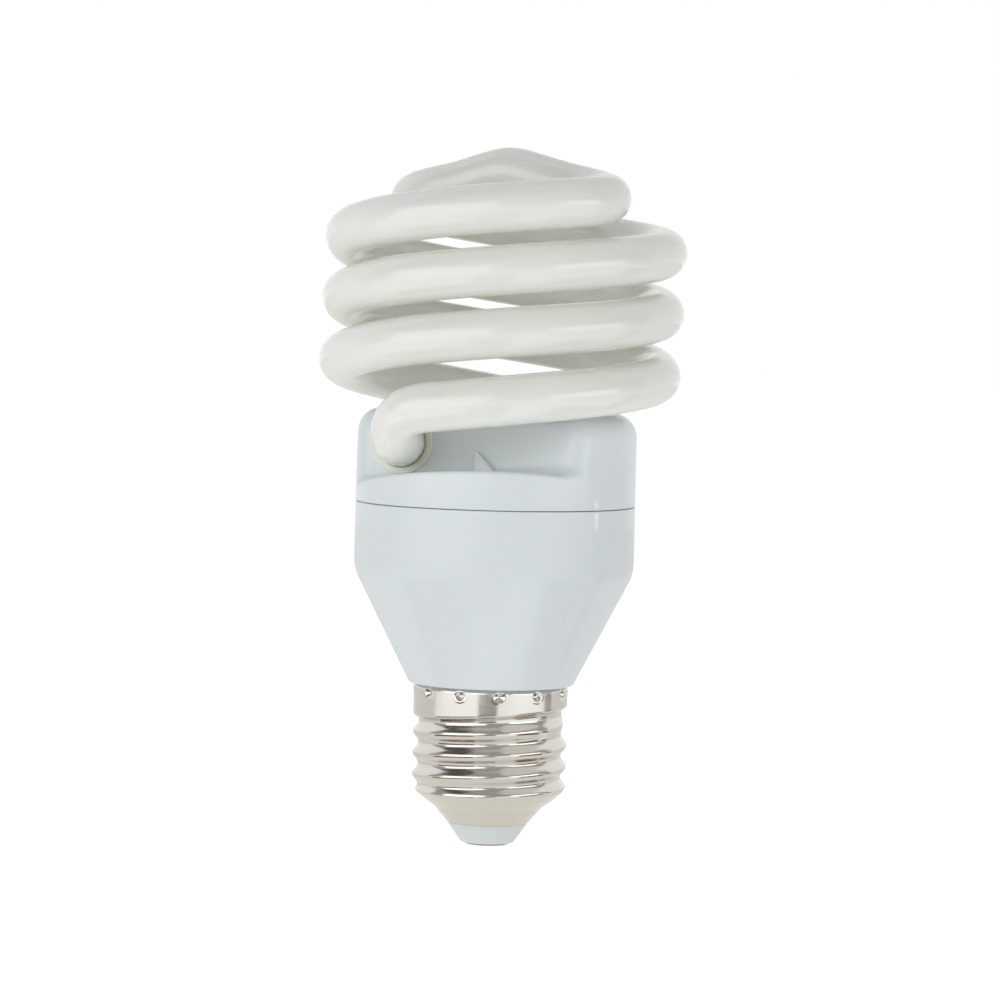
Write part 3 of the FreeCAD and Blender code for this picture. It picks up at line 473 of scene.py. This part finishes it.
def lower_edge(lowest_ring):
    """Rings that carry the skin round the cover's lower edge, a slit above the housing."""
    bend = np.linspace(math.pi / 2, 0, EDGE_STEPS, endpoint=False)[:, None, None]
    inset = 1 - EDGE_ROUND * (1 - np.cos(bend)) / WALL_RADIUS
    rings = lowest_ring * np.concatenate([inset, inset, 0 * inset + 1], axis=-1)
    return rings - np.concatenate([0 * bend, 0 * bend, EDGE_ROUND * np.sin(bend)], axis=-1)


inner_scale, inner_drop = np.array([INNER_SHARE, INNER_SHARE, 1.0]), np.array([0.0, 0.0, COVER_THICK])
inner_skin = skin[::-INNER_STEP] * inner_scale - inner_drop
inner_skin[-1, :, 2] = PARTING + SLIT
cover = grid_piece("upper_cover", np.concatenate([lower_edge(skin[0]), skin, inner_skin]),
                   "tube_cover", loop=True)

# %% [markdown]
# ## Gussets
# A small three-cornered rib stands in the corner of each recess and stiffens its wall. A ray search
# with rows this far apart would blur it, so it is a piece of its own: a rounded triangle carried out
# from the wall, whose last rows shrink to round its front edge.

# %% Gussets
GUSSET_ALONG, GUSSET_WIDTH, GUSSET_HEIGHT, GUSSET_DEPTH = -2.5, 5.6, 5.1, 1.6
GUSSET_SUNK, GUSSET_ROUND, GUSSET_SHRINK = 0.9, 0.3, 0.22


def gusset_rings(half_turn):
    """Rows of rounded triangles from inside the recess wall to the rib's front."""
    foot, (along, out, up) = recess_frame(half_turn)
    outline = rounded([(GUSSET_ALONG, -GUSSET_SUNK, HIDDEN_ROUND),
                       (GUSSET_ALONG, GUSSET_HEIGHT, GUSSET_ROUND),
                       (GUSSET_ALONG - GUSSET_WIDTH, -GUSSET_SUNK, HIDDEN_ROUND)])
    middle = outline.mean(axis=0)
    bend = np.linspace(0, math.pi / 2, EDGE_STEPS)
    reach = np.concatenate([[-GUSSET_SUNK], GUSSET_DEPTH - GUSSET_ROUND * (1 - np.sin(bend))])
    shrink = np.concatenate([[1.0], 1 - GUSSET_SHRINK * (1 - np.cos(bend))])
    flat = middle + shrink[:, None, None] * (outline - middle)
    return foot + flat[..., :1] * along + flat[..., 1:] * up + reach[:, None, None] * out


gussets = [grid_piece(f"gusset_{side}", gusset_rings(half_turn), "tube_cover")
           for side, half_turn in BOTH_SIDES]

# %% [markdown]
# ## Collars
# A cream compound seals each leg in its hole and stands a little proud of the slanted wall. A plain
# turned ring would sink into the wall on one side and stand off it on the other, so every point round
# this ring gets its own front edge, at the wall.

# %% Collars
COLLAR_RADIUS, COLLAR_BORE, COLLAR_PROUD, COLLAR_BACK = 5.4, 4.2, 0.6, 2.2
COLLAR_LIP, COLLAR_EDGE = 0.2, 0.38
COLLAR_SIDES, COLLAR_STEPS = 96, 9


def collar_rings(half_turn):
    """A ring round a leg, cut parallel to the recess wall."""
    spin = turned_about("Z", half_turn)
    foot, (_, out, _) = recess_frame(half_turn)
    centre = leaned(spin @ LEG_POINT)
    forward = LEAN @ spin @ LEG_OUT
    side = np.cross(forward, [0.0, 0.0, 1.0])
    side /= np.linalg.norm(side)
    up = np.cross(side, forward)
    section = rounded([(COLLAR_BORE, 0, COLLAR_LIP), (COLLAR_RADIUS, 0, COLLAR_EDGE),
                       (COLLAR_RADIUS, -COLLAR_BACK, SHARP_ROUND),
                       (COLLAR_BORE, -COLLAR_BACK, SHARP_ROUND)], steps=COLLAR_STEPS)
    angle = np.linspace(0, 2 * math.pi, COLLAR_SIDES, endpoint=False)[None, :, None]
    spoke = np.cos(angle) * side + np.sin(angle) * up
    flat = centre + section[:, None, :1] * spoke
    reach = ((foot - flat) @ out + COLLAR_PROUD) / (forward @ out)
    return flat + (reach + section[:, None, 1])[..., None] * forward


collars = [grid_piece(f"collar_{side}", collar_rings(half_turn), f"tube_collar_{side}",
                      loop=True) for side, half_turn in BOTH_SIDES]

# %% [markdown]
# ## The rolled screw shell
# The shell is pressed from thin sheet, rolled between threaded dies and staked to the housing with a
# ring of dimples. A screw modifier would give an even thread, but not the way it runs out under the
# plain band and into the cone. So the sheet is a height field round the axis: a plain profile, from
# which a wave that climbs one pitch a turn is pressed in, fading at both ends.

# %% Shape of the sheet
CREST_RADIUS, CREST_HEIGHT = 13.1, 17.2
THREAD_DEPTH, THREAD_PITCH = 0.95, 3.63
THREAD_FOOT, THREAD_FADE = 8.0, 2.4
RUN_OUT, RUN_OUT_FADE = 21.4, 1.6
BAND_FOOT, BAND_CLIMB = 22.2, 0.9
CONE_HEIGHTS = (SHELL_FOOT, 6.4, 7.8, 9.1, 10.0)
CONE_RADII = (CONE_TOP_RADIUS, 9.2, 11.1, 12.75, CREST_RADIUS)
CRIMP_HEIGHT, CRIMP_DEPTH = 0.7, 0.4
STAKES, STAKE_TURN, STAKE_HEIGHT = 12, 276.8, 26.3
STAKE_RADIUS, STAKE_DEPTH, STAKE_SOFT = 0.85, 0.5, 1.15
STAKE_LIP, LIP_PLACE, LIP_STEEP = 0.05, 1.25, 3


def eased(value):
    """A smooth step from 0 to 1."""
    value = np.clip(value, 0, 1)
    return value * value * (3 - 2 * value)


def thread_press(angle, height):
    """How far the dies press the sheet in, from 0 on a crest to 1 in a groove."""
    climb = (height - CREST_HEIGHT) / THREAD_PITCH - angle / (2 * math.pi)
    wave = 0.5 - 0.5 * np.cos(2 * math.pi * climb)
    crest = CREST_HEIGHT + THREAD_PITCH * (np.round(climb) + angle / (2 * math.pi))
    ridge = (1 - wave) * eased((RUN_OUT - crest) / RUN_OUT_FADE)
    band_edge = BAND_FOOT + BAND_CLIMB * (1 + np.cos(angle))
    return (1 - ridge) * eased((height - THREAD_FOOT) / THREAD_FADE) * eased(band_edge - height)


def shell_radius(angle, height):
    """Outer radius of the pressed sheet at an angle and a height, with its crimped top and dimples."""
    plain = np.interp(height, CONE_HEIGHTS, CONE_RADII)
    crimp = CRIMP_DEPTH * eased((height - HOUSING_FOOT) / CRIMP_HEIGHT + 1)
    radius = plain - THREAD_DEPTH * thread_press(angle, height) - crimp
    step = 2 * math.pi / STAKES
    along = (angle - math.radians(STAKE_TURN) + step / 2) % step - step / 2
    away = np.hypot(along * CREST_RADIUS, height - STAKE_HEIGHT) / STAKE_RADIUS
    lip = STAKE_LIP * eased(1 - np.abs(away - LIP_PLACE) * LIP_STEEP)
    return radius - STAKE_DEPTH * eased(STAKE_SOFT - away) + lip


# %% Screw shell
SHEET, TOP_EDGE, BACK_STEP = 0.3, 0.02, 3
SHELL_SIDES, SHELL_ROWS = 360, 220


def shell_rings():
    """Outer skin from the lip up to the top edge, then the inner skin back down."""
    angle = np.linspace(0, 2 * math.pi, SHELL_SIDES, endpoint=False)[None, :]
    heights = np.linspace(SHELL_FOOT, HOUSING_FOOT, SHELL_ROWS)[:, None]
    back = heights[::-BACK_STEP]
    radius = np.concatenate([shell_radius(angle, heights), shell_radius(angle, back) - SHEET])
    height = np.concatenate([heights, back + TOP_EDGE]) + 0 * angle
    return np.stack([radius * np.cos(angle), radius * np.sin(angle), height], axis=-1)


shell = grid_piece("rolled_shell", shell_rings(), "screw_shell", loop=True)

# %% [markdown]
# ## Camera
# A short lens close by would swell the middle of the lamp. A long lens from further away keeps its
# sides nearly parallel, as product pictures do. The camera stands a little above the lamp's middle,
# looks slightly down and is rolled a little, so that the lamp leans in the picture.

# %% Camera
CAMERA_DISTANCE, CAMERA_HEIGHT = 0.760, 0.100
LENS, SENSOR = 161.15, 36.0
PITCH, YAW, ROLL = -3.11, 0.058, 1.45
CLIP_NEAR, CLIP_FAR = 0.01, 20

camera_data = bpy.data.cameras.new("camera")
camera_data.lens = LENS
camera_data.sensor_width = SENSOR
camera_data.clip_start, camera_data.clip_end = CLIP_NEAR, CLIP_FAR
camera = bpy.data.objects.new("camera", camera_data)
scene.collection.objects.link(camera)
scene.camera = camera
aim = Matrix.Rotation(math.radians(-YAW), 4, "Z") @ Matrix.Rotation(math.radians(90 + PITCH), 4, "X")
camera.matrix_world = (Matrix.Translation((0, -CAMERA_DISTANCE, CAMERA_HEIGHT)) @ aim
                       @ Matrix.Rotation(math.radians(ROLL), 4, "Z"))
print("lens, mm:", LENS, "distance, m:", CAMERA_DISTANCE)

# %% [markdown]
# ## Lamps
# Two soft boxes light the bulb from the front: a broad one on the left and a low strip on the right. A
# sun lamp would throw hard shadows, while a large rectangle close by gives the slow shading that milky
# glass and moulded plastic need. A third lamp is a narrow slit on the right. Its mirror image is the
# thin bright mark on the upright wall, so light linking lets it reach the two plastic shells only.

# %% Soft boxes
BULB_MIDDLE = Vector((0, 0, 0.07))


def soft_box(name, azimuth, elevation, distance, width, height, radiance):
    """A soft rectangular lamp facing the middle of the bulb; azimuth 0 is the camera's side."""
    turn, lift = math.radians(azimuth), math.radians(elevation)
    offset = Vector((math.sin(turn) * math.cos(lift), -math.cos(turn) * math.cos(lift), math.sin(lift)))
    lamp = bpy.data.lights.new(name, "AREA")
    lamp.shape = "RECTANGLE"
    lamp.size, lamp.size_y = width, height
    lamp.energy = radiance * math.pi * width * height
    holder = bpy.data.objects.new(name, lamp)
    holder.location = BULB_MIDDLE + offset * distance
    holder.rotation_euler = (-offset).to_track_quat("-Z", "Y").to_euler()
    scene.collection.objects.link(holder)
    print(name, "watts:", round(lamp.energy, 3))
    return holder


soft_box("left_box", azimuth=-42, elevation=6, distance=1.1, width=1.5, height=1.0, radiance=1.43)
soft_box("right_box", azimuth=56, elevation=4, distance=1.1, width=1.0, height=0.36, radiance=1.8)
side_slit = soft_box("side_slit", azimuth=90.0, elevation=-4.4, distance=0.6,
                     width=0.05, height=0.0085, radiance=7.0)
plastic_shells = bpy.data.collections.new("plastic_shells")
plastic_shells.objects.link(housing)
plastic_shells.objects.link(cover)
side_slit.light_linking.receiver_collection = plastic_shells

# %% [markdown]
# ## What the metal mirrors
# Bright metal and glass only show their shape when something dark is mirrored beside something bright.
# A photographer sets up cards for that, and so does this scene: a grey wall and three ceilings on a
# dome round the camera's side, and dark, brown, grey and pale cards on the table. A picture of a room
# could be mirrored instead, but sheets of one even tone can be moved one by one. Only reflections see
# them, so they add no light to the bulb.


# %% Studio helpers
def stage_piece(name, corners, faces):
    """A piece of the studio, not part of the lamp; gives back the piece and its material's nodes."""
    mesh = bpy.data.meshes.new(name)
    mesh.from_pydata(corners, [], faces)
    piece = bpy.data.objects.new(name, mesh)
    scene.collection.objects.link(piece)
    material = bpy.data.materials.new(name)
    material.use_nodes = True
    mesh.materials.append(material)
    return piece, material.node_tree


def mirrored_card(name, surface, turns, steps, tone):
    """A sheet of one even tone that only reflections see, on a grid of turns and steps."""
    corners = [surface(math.radians(turn), step) for step in steps for turn in turns]
    wide = len(turns)
    faces = [(row + column, row + column + 1, row + column + wide + 1, row + column + wide)
             for row in range(0, wide * (len(steps) - 1), wide) for column in range(wide - 1)]
    card, tree = stage_piece(name, corners, faces)
    even = tree.nodes.new("ShaderNodeEmission")
    even.inputs["Color"].default_value = (*tone, 1)
    tree.links.new(even.outputs[0], tree.nodes["Material Output"].inputs["Surface"])
    card.visible_camera = False
    card.visible_diffuse = False
    card.visible_shadow = False


# %% Wall, ceilings and cards
DOME_RADIUS, CARD_HEIGHT = 1.6, 0.0005


def on_dome(turn, lift):
    """A point of the dome; turn 0 is the camera's side."""
    lift = math.radians(lift)
    level = DOME_RADIUS * math.cos(lift)
    return (level * math.sin(turn), -level * math.cos(turn), DOME_RADIUS * math.sin(lift))


def on_table(turn, reach):
    """A point just above the table at a reach from the axis; turn 0 is the camera's side."""
    return (reach * math.sin(turn), -reach * math.cos(turn), CARD_HEIGHT)


WALL_LIFTS, CEILING_LIFTS = (1, 20, 38), range(38, 87, 8)
NEAR, MIDDLE, DARK_REACH, WIDE = (0.004, 0.034), (0.034, 0.105), (0.045, 0.34), (0.034, 0.9)
WALL, SHADE = (0.40, 0.40, 0.38), (0.10, 0.09, 0.08)
DIM, BRIGHT = (0.40, 0.39, 0.36), (0.75, 0.74, 0.70)
DARK, BROWN = (0.24, 0.23, 0.21), (0.20, 0.10, 0.055)
GREY, PALE = (0.80, 0.785, 0.75), (0.87, 0.855, 0.81)
CARDS = (
    ("front_wall", on_dome, range(-104, 105, 8), WALL_LIFTS, WALL),
    ("left_ceiling", on_dome, range(-104, -47, 8), CEILING_LIFTS, SHADE),
    ("ceiling", on_dome, range(-48, 25, 8), CEILING_LIFTS, DIM),
    ("right_ceiling", on_dome, range(24, 105, 8), CEILING_LIFTS, BRIGHT),
    ("lens_card", on_table, range(-17, 13, 3), DARK_REACH, DARK),
    ("side_card", on_table, range(87, 103, 3), DARK_REACH, DARK),
    ("near_card", on_table, range(-180, 181, 8), NEAR, PALE),
    ("left_brown_card", on_table, range(-84, -16, 4), MIDDLE, BROWN),
    ("right_brown_card", on_table, range(42, 87, 5), MIDDLE, BROWN),
    ("left_grey_card", on_table, range(-180, -86, 4), WIDE, GREY),
    ("right_grey_card", on_table, range(104, 181, 4), WIDE, GREY),
)
for name, surface, turns, steps, tone in CARDS:
    mirrored_card(name, surface, turns, steps, tone)
print("mirrored cards:", len(CARDS))

# %% [markdown]
# ## Table and room
# The bulb stands on white paper lit through from below, in a pale room. More light on the bulb would
# turn the ground white too, but it would wash the plastic out. So the Light Path node shows a brighter
# paper and a white room to the camera and to mirrored rays, and plain ones to the light that falls on
# the bulb. The paper still takes the bulb's shadow.


# %% Two faces of one ground
def white_to_the_eye(tree, plain, white, surface):
    """Camera, glossy and transmission rays see the white shader; every other ray sees the plain one."""
    path = tree.nodes.new("ShaderNodeLightPath")
    seen = path.outputs["Is Camera Ray"]
    for kind in ("Is Glossy Ray", "Is Transmission Ray"):
        either = tree.nodes.new("ShaderNodeMath")
        either.operation = "MAXIMUM"
        tree.links.new(seen, either.inputs[0])
        tree.links.new(path.outputs[kind], either.inputs[1])
        seen = either.outputs[0]
    mix = tree.nodes.new("ShaderNodeMixShader")
    tree.links.new(seen, mix.inputs["Fac"])
    tree.links.new(plain, mix.inputs[1])
    tree.links.new(white, mix.inputs[2])
    tree.links.new(mix.outputs[0], surface)


# %% Table
FLOOR_HALF = 3.0
PAPER_COLOUR, PAPER_ROUGHNESS = (0.86, 0.86, 0.86, 1), 0.9
GLOW_PLAIN, GLOW_WHITE = 0.38, 0.72

_, floor_tree = stage_piece("floor", [(-FLOOR_HALF, -FLOOR_HALF, 0), (FLOOR_HALF, -FLOOR_HALF, 0),
                                      (FLOOR_HALF, FLOOR_HALF, 0), (-FLOOR_HALF, FLOOR_HALF, 0)],
                            [(0, 1, 2, 3)])
paper = floor_tree.nodes["Principled BSDF"]
paper.inputs["Base Color"].default_value = PAPER_COLOUR
paper.inputs["Roughness"].default_value = PAPER_ROUGHNESS


def lit_paper(strength):
    """The paper of the table, lit through from below."""
    glow = floor_tree.nodes.new("ShaderNodeEmission")
    glow.inputs["Strength"].default_value = strength
    both = floor_tree.nodes.new("ShaderNodeAddShader")
    floor_tree.links.new(glow.outputs[0], both.inputs[0])
    floor_tree.links.new(paper.outputs[0], both.inputs[1])
    return both.outputs[0]


white_to_the_eye(floor_tree, lit_paper(GLOW_PLAIN), lit_paper(GLOW_WHITE),
                 floor_tree.nodes["Material Output"].inputs["Surface"])
print("table, m wide:", 2 * FLOOR_HALF)

# %% Room
FILL_COLOUR, FILL_STRENGTH = (0.93, 0.97, 1.0, 1), 0.34

world = bpy.data.worlds.new("studio")
scene.world = world
world.use_nodes = True
room_tree = world.node_tree
fill = room_tree.nodes["Background"]
fill.inputs["Color"].default_value = FILL_COLOUR
fill.inputs["Strength"].default_value = FILL_STRENGTH
white_room = room_tree.nodes.new("ShaderNodeBackground")
white_room.inputs["Color"].default_value = (1, 1, 1, 1)
white_room.inputs["Strength"].default_value = 1.0
white_to_the_eye(room_tree, fill.outputs[0], white_room.outputs[0],
                 room_tree.nodes["World Output"].inputs["Surface"])
print("fill light of the room:", FILL_STRENGTH)

# %% [markdown]
# ## Finishes
# Two effects are shared by all the materials: a fine moulded or powdery grain, and the faint smears
# and specks that handling leaves on anything glossy. Each material could hold its own copy of these
# nodes, but a node group is built and mended in one place, and each material gives it its own values.

# %% Node helpers
GRAIN_SCALE, DRIFT_SCALE, SMEAR_SCALE, SPECK_SCALE = 3000.0, 40.0, 90.0, 130.0
GRAIN_DETAIL, DRIFT_DETAIL, SMEAR_DETAIL, SMEAR_TWIST = 3.0, 2.0, 5.0, 1.4
DRIFT_RANGE, SMEAR_RANGE, SPECK_RANGE = (0.3, 0.7), (0.42, 0.68), (0.035, 0.02)


def socket(group, name, direction, value=None):
    """One named number socket of a node group."""
    made = group.interface.new_socket(name=name, in_out=direction, socket_type="NodeSocketFloat")
    if value is not None:
        made.default_value = value


def noise_node(tree, scale, detail, place):
    """A noise texture read in the piece's own metres; scale and place are other nodes' outputs."""
    noise = tree.nodes.new("ShaderNodeTexNoise")
    noise.inputs["Detail"].default_value = detail
    tree.links.new(scale, noise.inputs["Scale"])
    tree.links.new(place, noise.inputs["Vector"])
    return noise


def ranged(tree, value, span, low=0.0, high=1.0):
    """A value mapped from a span to the range from low to high."""
    spread = tree.nodes.new("ShaderNodeMapRange")
    limits = {"From Min": span[0], "From Max": span[1], "To Min": low, "To Max": high}
    for name, number in limits.items():
        spread.inputs[name].default_value = number
    tree.links.new(value, spread.inputs["Value"])
    return spread.outputs["Result"]


# %% Shared effects
def surface_grain_group():
    """Fine grain: a height for bump, and a slow drift of tone over the piece."""
    group = bpy.data.node_groups.new("surface_grain", "ShaderNodeTree")
    socket(group, "Scale", "INPUT", GRAIN_SCALE)
    socket(group, "Drift Scale", "INPUT", DRIFT_SCALE)
    socket(group, "Height", "OUTPUT")
    socket(group, "Drift", "OUTPUT")
    inward = group.nodes.new("NodeGroupInput")
    outward = group.nodes.new("NodeGroupOutput")
    place = group.nodes.new("ShaderNodeTexCoord").outputs["Object"]
    fine = noise_node(group, inward.outputs["Scale"], GRAIN_DETAIL, place)
    slow = noise_node(group, inward.outputs["Drift Scale"], DRIFT_DETAIL, place)
    group.links.new(fine.outputs["Fac"], outward.inputs["Height"])
    group.links.new(ranged(group, slow.outputs["Fac"], DRIFT_RANGE), outward.inputs["Drift"])
    return group


def handling_group():
    """Faint smears and a few specks of dust."""
    group = bpy.data.node_groups.new("handling", "ShaderNodeTree")
    socket(group, "Smear Scale", "INPUT", SMEAR_SCALE)
    socket(group, "Smear", "OUTPUT")
    socket(group, "Specks", "OUTPUT")
    inward = group.nodes.new("NodeGroupInput")
    outward = group.nodes.new("NodeGroupOutput")
    place = group.nodes.new("ShaderNodeTexCoord").outputs["Object"]
    smear = noise_node(group, inward.outputs["Smear Scale"], SMEAR_DETAIL, place)
    smear.inputs["Distortion"].default_value = SMEAR_TWIST
    cells = group.nodes.new("ShaderNodeTexVoronoi")
    cells.inputs["Scale"].default_value = SPECK_SCALE
    group.links.new(place, cells.inputs["Vector"])
    group.links.new(ranged(group, smear.outputs["Fac"], SMEAR_RANGE), outward.inputs["Smear"])
    group.links.new(ranged(group, cells.outputs["Distance"], SPECK_RANGE), outward.inputs["Specks"])
    return group


GRAIN = surface_grain_group()
HANDLING = handling_group()
print("shared effects:", GRAIN.name, HANDLING.name)

# %% Material helper
GRAIN_DEPTH = 0.00005


def placed_group(tree, group, **values):
    """A shared effect placed in a material with its own values."""
    node = tree.nodes.new("ShaderNodeGroup")
    node.node_tree = group
    for label, value in values.items():
        node.inputs[label.replace("_", " ")].default_value = value
    return node


def tinted(tree, mask, colour):
    """A mix node that turns into a colour where a mask rises."""
    mix = tree.nodes.new("ShaderNodeMix")
    mix.data_type = "RGBA"
    mix.inputs["B"].default_value = (*colour, 1)
    tree.links.new(mask, mix.inputs["Factor"])
    return mix


def finish(name, colour, drift_colour, roughness, smear_roughness, bump, grain_scale=GRAIN_SCALE,
           drift_scale=DRIFT_SCALE, smear_scale=SMEAR_SCALE, speck_colour=None, **plain):
    """A procedural finish: drifting colour, smeared gloss, fine bump; plain holds the other sockets."""
    material = bpy.data.materials.new(name)
    material.use_nodes = True
    tree = material.node_tree
    shader = tree.nodes["Principled BSDF"]
    for label, value in plain.items():
        shader.inputs[label.replace("_", " ")].default_value = value
    grain = placed_group(tree, GRAIN, Scale=grain_scale, Drift_Scale=drift_scale)
    handling = placed_group(tree, HANDLING, Smear_Scale=smear_scale)
    tint = tinted(tree, grain.outputs["Drift"], drift_colour)
    tint.inputs["A"].default_value = (*colour, 1)
    if speck_colour:
        speckled = tinted(tree, handling.outputs["Specks"], speck_colour)
        tree.links.new(tint.outputs["Result"], speckled.inputs["A"])
        tint = speckled
    tree.links.new(tint.outputs["Result"], shader.inputs["Base Color"])
    gloss = ranged(tree, handling.outputs["Smear"], (0, 1), roughness, smear_roughness)
    tree.links.new(gloss, shader.inputs["Roughness"])
    relief = tree.nodes.new("ShaderNodeBump")
    relief.inputs["Strength"].default_value = bump
    relief.inputs["Distance"].default_value = GRAIN_DEPTH
    tree.links.new(grain.outputs["Height"], relief.inputs["Height"])
    tree.links.new(relief.outputs["Normal"], shader.inputs["Normal"])
    print("finish:", name)
    return material


def dress(piece, material):
    """Give a piece its one finish."""
    piece.data.materials.clear()
    piece.data.materials.append(material)


# %% [markdown]
# ### Coated glass
# The tube is clear glass with a white phosphor powder on the inside: milky, faintly warm, with the
# gloss of the glass over it. A true glass shader would need the powder as a second skin and many
# bounces. A white that scatters light below its surface, under a smooth gloss, looks much the same.

# %% Glass finish
glass_finish = finish("coated_glass", (0.895, 0.89, 0.82), (0.88, 0.875, 0.80),
                      roughness=0.09, smear_roughness=0.14, bump=0.05,
                      grain_scale=1400.0, drift_scale=60.0, smear_scale=55.0, Specular_IOR_Level=0.7,
                      Subsurface_Weight=1.0, Subsurface_Scale=0.009,
                      Subsurface_Radius=(1.0, 0.96, 0.84))
dress(glass, glass_finish)

# %% [markdown]
# ### Moulded plastic and compound
# Housing, cover and gussets are one cool white plastic with a few darker specks. One rough gloss would
# blur what it mirrors, so a thin clear coat lies over a softer base: the coat shows the slit lamp as a
# crisp mark. The insulator is the same family, a little greyer. The collars are a cream compound that
# lets some light in.

# %% Plastic finishes
housing_finish = finish("housing_plastic", (0.785, 0.83, 0.845), (0.775, 0.82, 0.835),
                        roughness=0.28, smear_roughness=0.31, bump=0.03,
                        speck_colour=(0.74, 0.78, 0.79), Specular_IOR_Level=0.35,
                        Coat_Weight=0.3, Coat_Roughness=0.02)
insulator_finish = finish("insulator_plastic", (0.69, 0.73, 0.73), (0.66, 0.70, 0.70),
                          roughness=0.3, smear_roughness=0.42, bump=0.1)
collar_finish = finish("collar_compound", (0.90, 0.875, 0.76), (0.87, 0.84, 0.72),
                       roughness=0.35, smear_roughness=0.5, bump=0.1,
                       Subsurface_Weight=0.3, Subsurface_Scale=0.002)
for piece in (housing, cover, *gussets):
    dress(piece, housing_finish)
dress(insulator, insulator_finish)
for piece in collars:
    dress(piece, collar_finish)

# %% [markdown]
# ### Nickel and end contact
# Rolling leaves the nickel bright but not optical. Streaks along the thread could be drawn with an
# anisotropic shader, but at this size they are too fine to see, so faint smears and a trace of grain
# soften what it mirrors. The end contact is a darker, duller metal.

# %% Metal finishes
nickel_finish = finish("bright_nickel", (0.70, 0.68, 0.64), (0.66, 0.64, 0.60),
                       roughness=0.14, smear_roughness=0.22, bump=0.05,
                       grain_scale=1800.0, smear_scale=220.0, Metallic=1.0)
contact_finish = finish("contact_metal", (0.32, 0.30, 0.28), (0.26, 0.24, 0.22),
                        roughness=0.25, smear_roughness=0.4, bump=0.1, Metallic=1.0)
dress(shell, nickel_finish)
dress(contact, contact_finish)

# %% [markdown]
# ### Inside the housing
# The ballast never shows in the closed lamp. One grey would do for the picture, but the solids stay in
# the model and may be looked at on their own, so each gets a finish of its own kind too.

# %% Finishes of the inner pieces
INNER_FINISHES = (
    # slot, finish, colour, drift colour, roughness, smeared roughness, bump, metallic
    ("board", "board_laminate", (0.42, 0.30, 0.14), (0.36, 0.25, 0.11), 0.5, 0.6, 0.2, 0.0),
    ("ferrite", "ferrite", (0.035, 0.035, 0.04), (0.05, 0.05, 0.055), 0.45, 0.6, 0.3, 0.0),
    ("bobbin_plastic", "bobbin_plastic", (0.02, 0.02, 0.022), (0.03, 0.03, 0.033), 0.4, 0.5, 0.1, 0.0),
    ("copper", "enamelled_copper", (0.55, 0.20, 0.07), (0.45, 0.15, 0.05), 0.3, 0.4, 0.3, 0.9),
    ("can_sleeve", "can_sleeve", (0.02, 0.025, 0.05), (0.03, 0.035, 0.06), 0.25, 0.35, 0.05, 0.0),
    ("black_package", "black_package", (0.02, 0.02, 0.022), (0.028, 0.028, 0.03), 0.5, 0.6, 0.2, 0.0),
    ("film_dip", "film_dip", (0.32, 0.05, 0.02), (0.28, 0.04, 0.015), 0.2, 0.3, 0.05, 0.0),
    ("glass_bead", "glass_bead", (0.25, 0.08, 0.05), (0.2, 0.06, 0.04), 0.1, 0.2, 0.05, 0.0),
    ("resistor_coat", "resistor_coat", (0.45, 0.36, 0.2), (0.4, 0.31, 0.17), 0.4, 0.5, 0.1, 0.0),
    ("tinned_wire", "tinned_wire", (0.6, 0.6, 0.6), (0.52, 0.52, 0.52), 0.25, 0.35, 0.05, 1.0),
    ("wire_sleeve", "wire_sleeve", (0.6, 0.6, 0.58), (0.55, 0.55, 0.53), 0.4, 0.5, 0.05, 0.0),
)
inner = {slot: finish(*values, Metallic=metallic) for slot, *values, metallic in INNER_FINISHES}
inner["contact_metal"] = contact_finish
for entry in frame["record"]["subparts"]:
    if entry["material_slot"] in inner:
        dress(frame["nodes"][entry["node"]], inner[entry["material_slot"]])
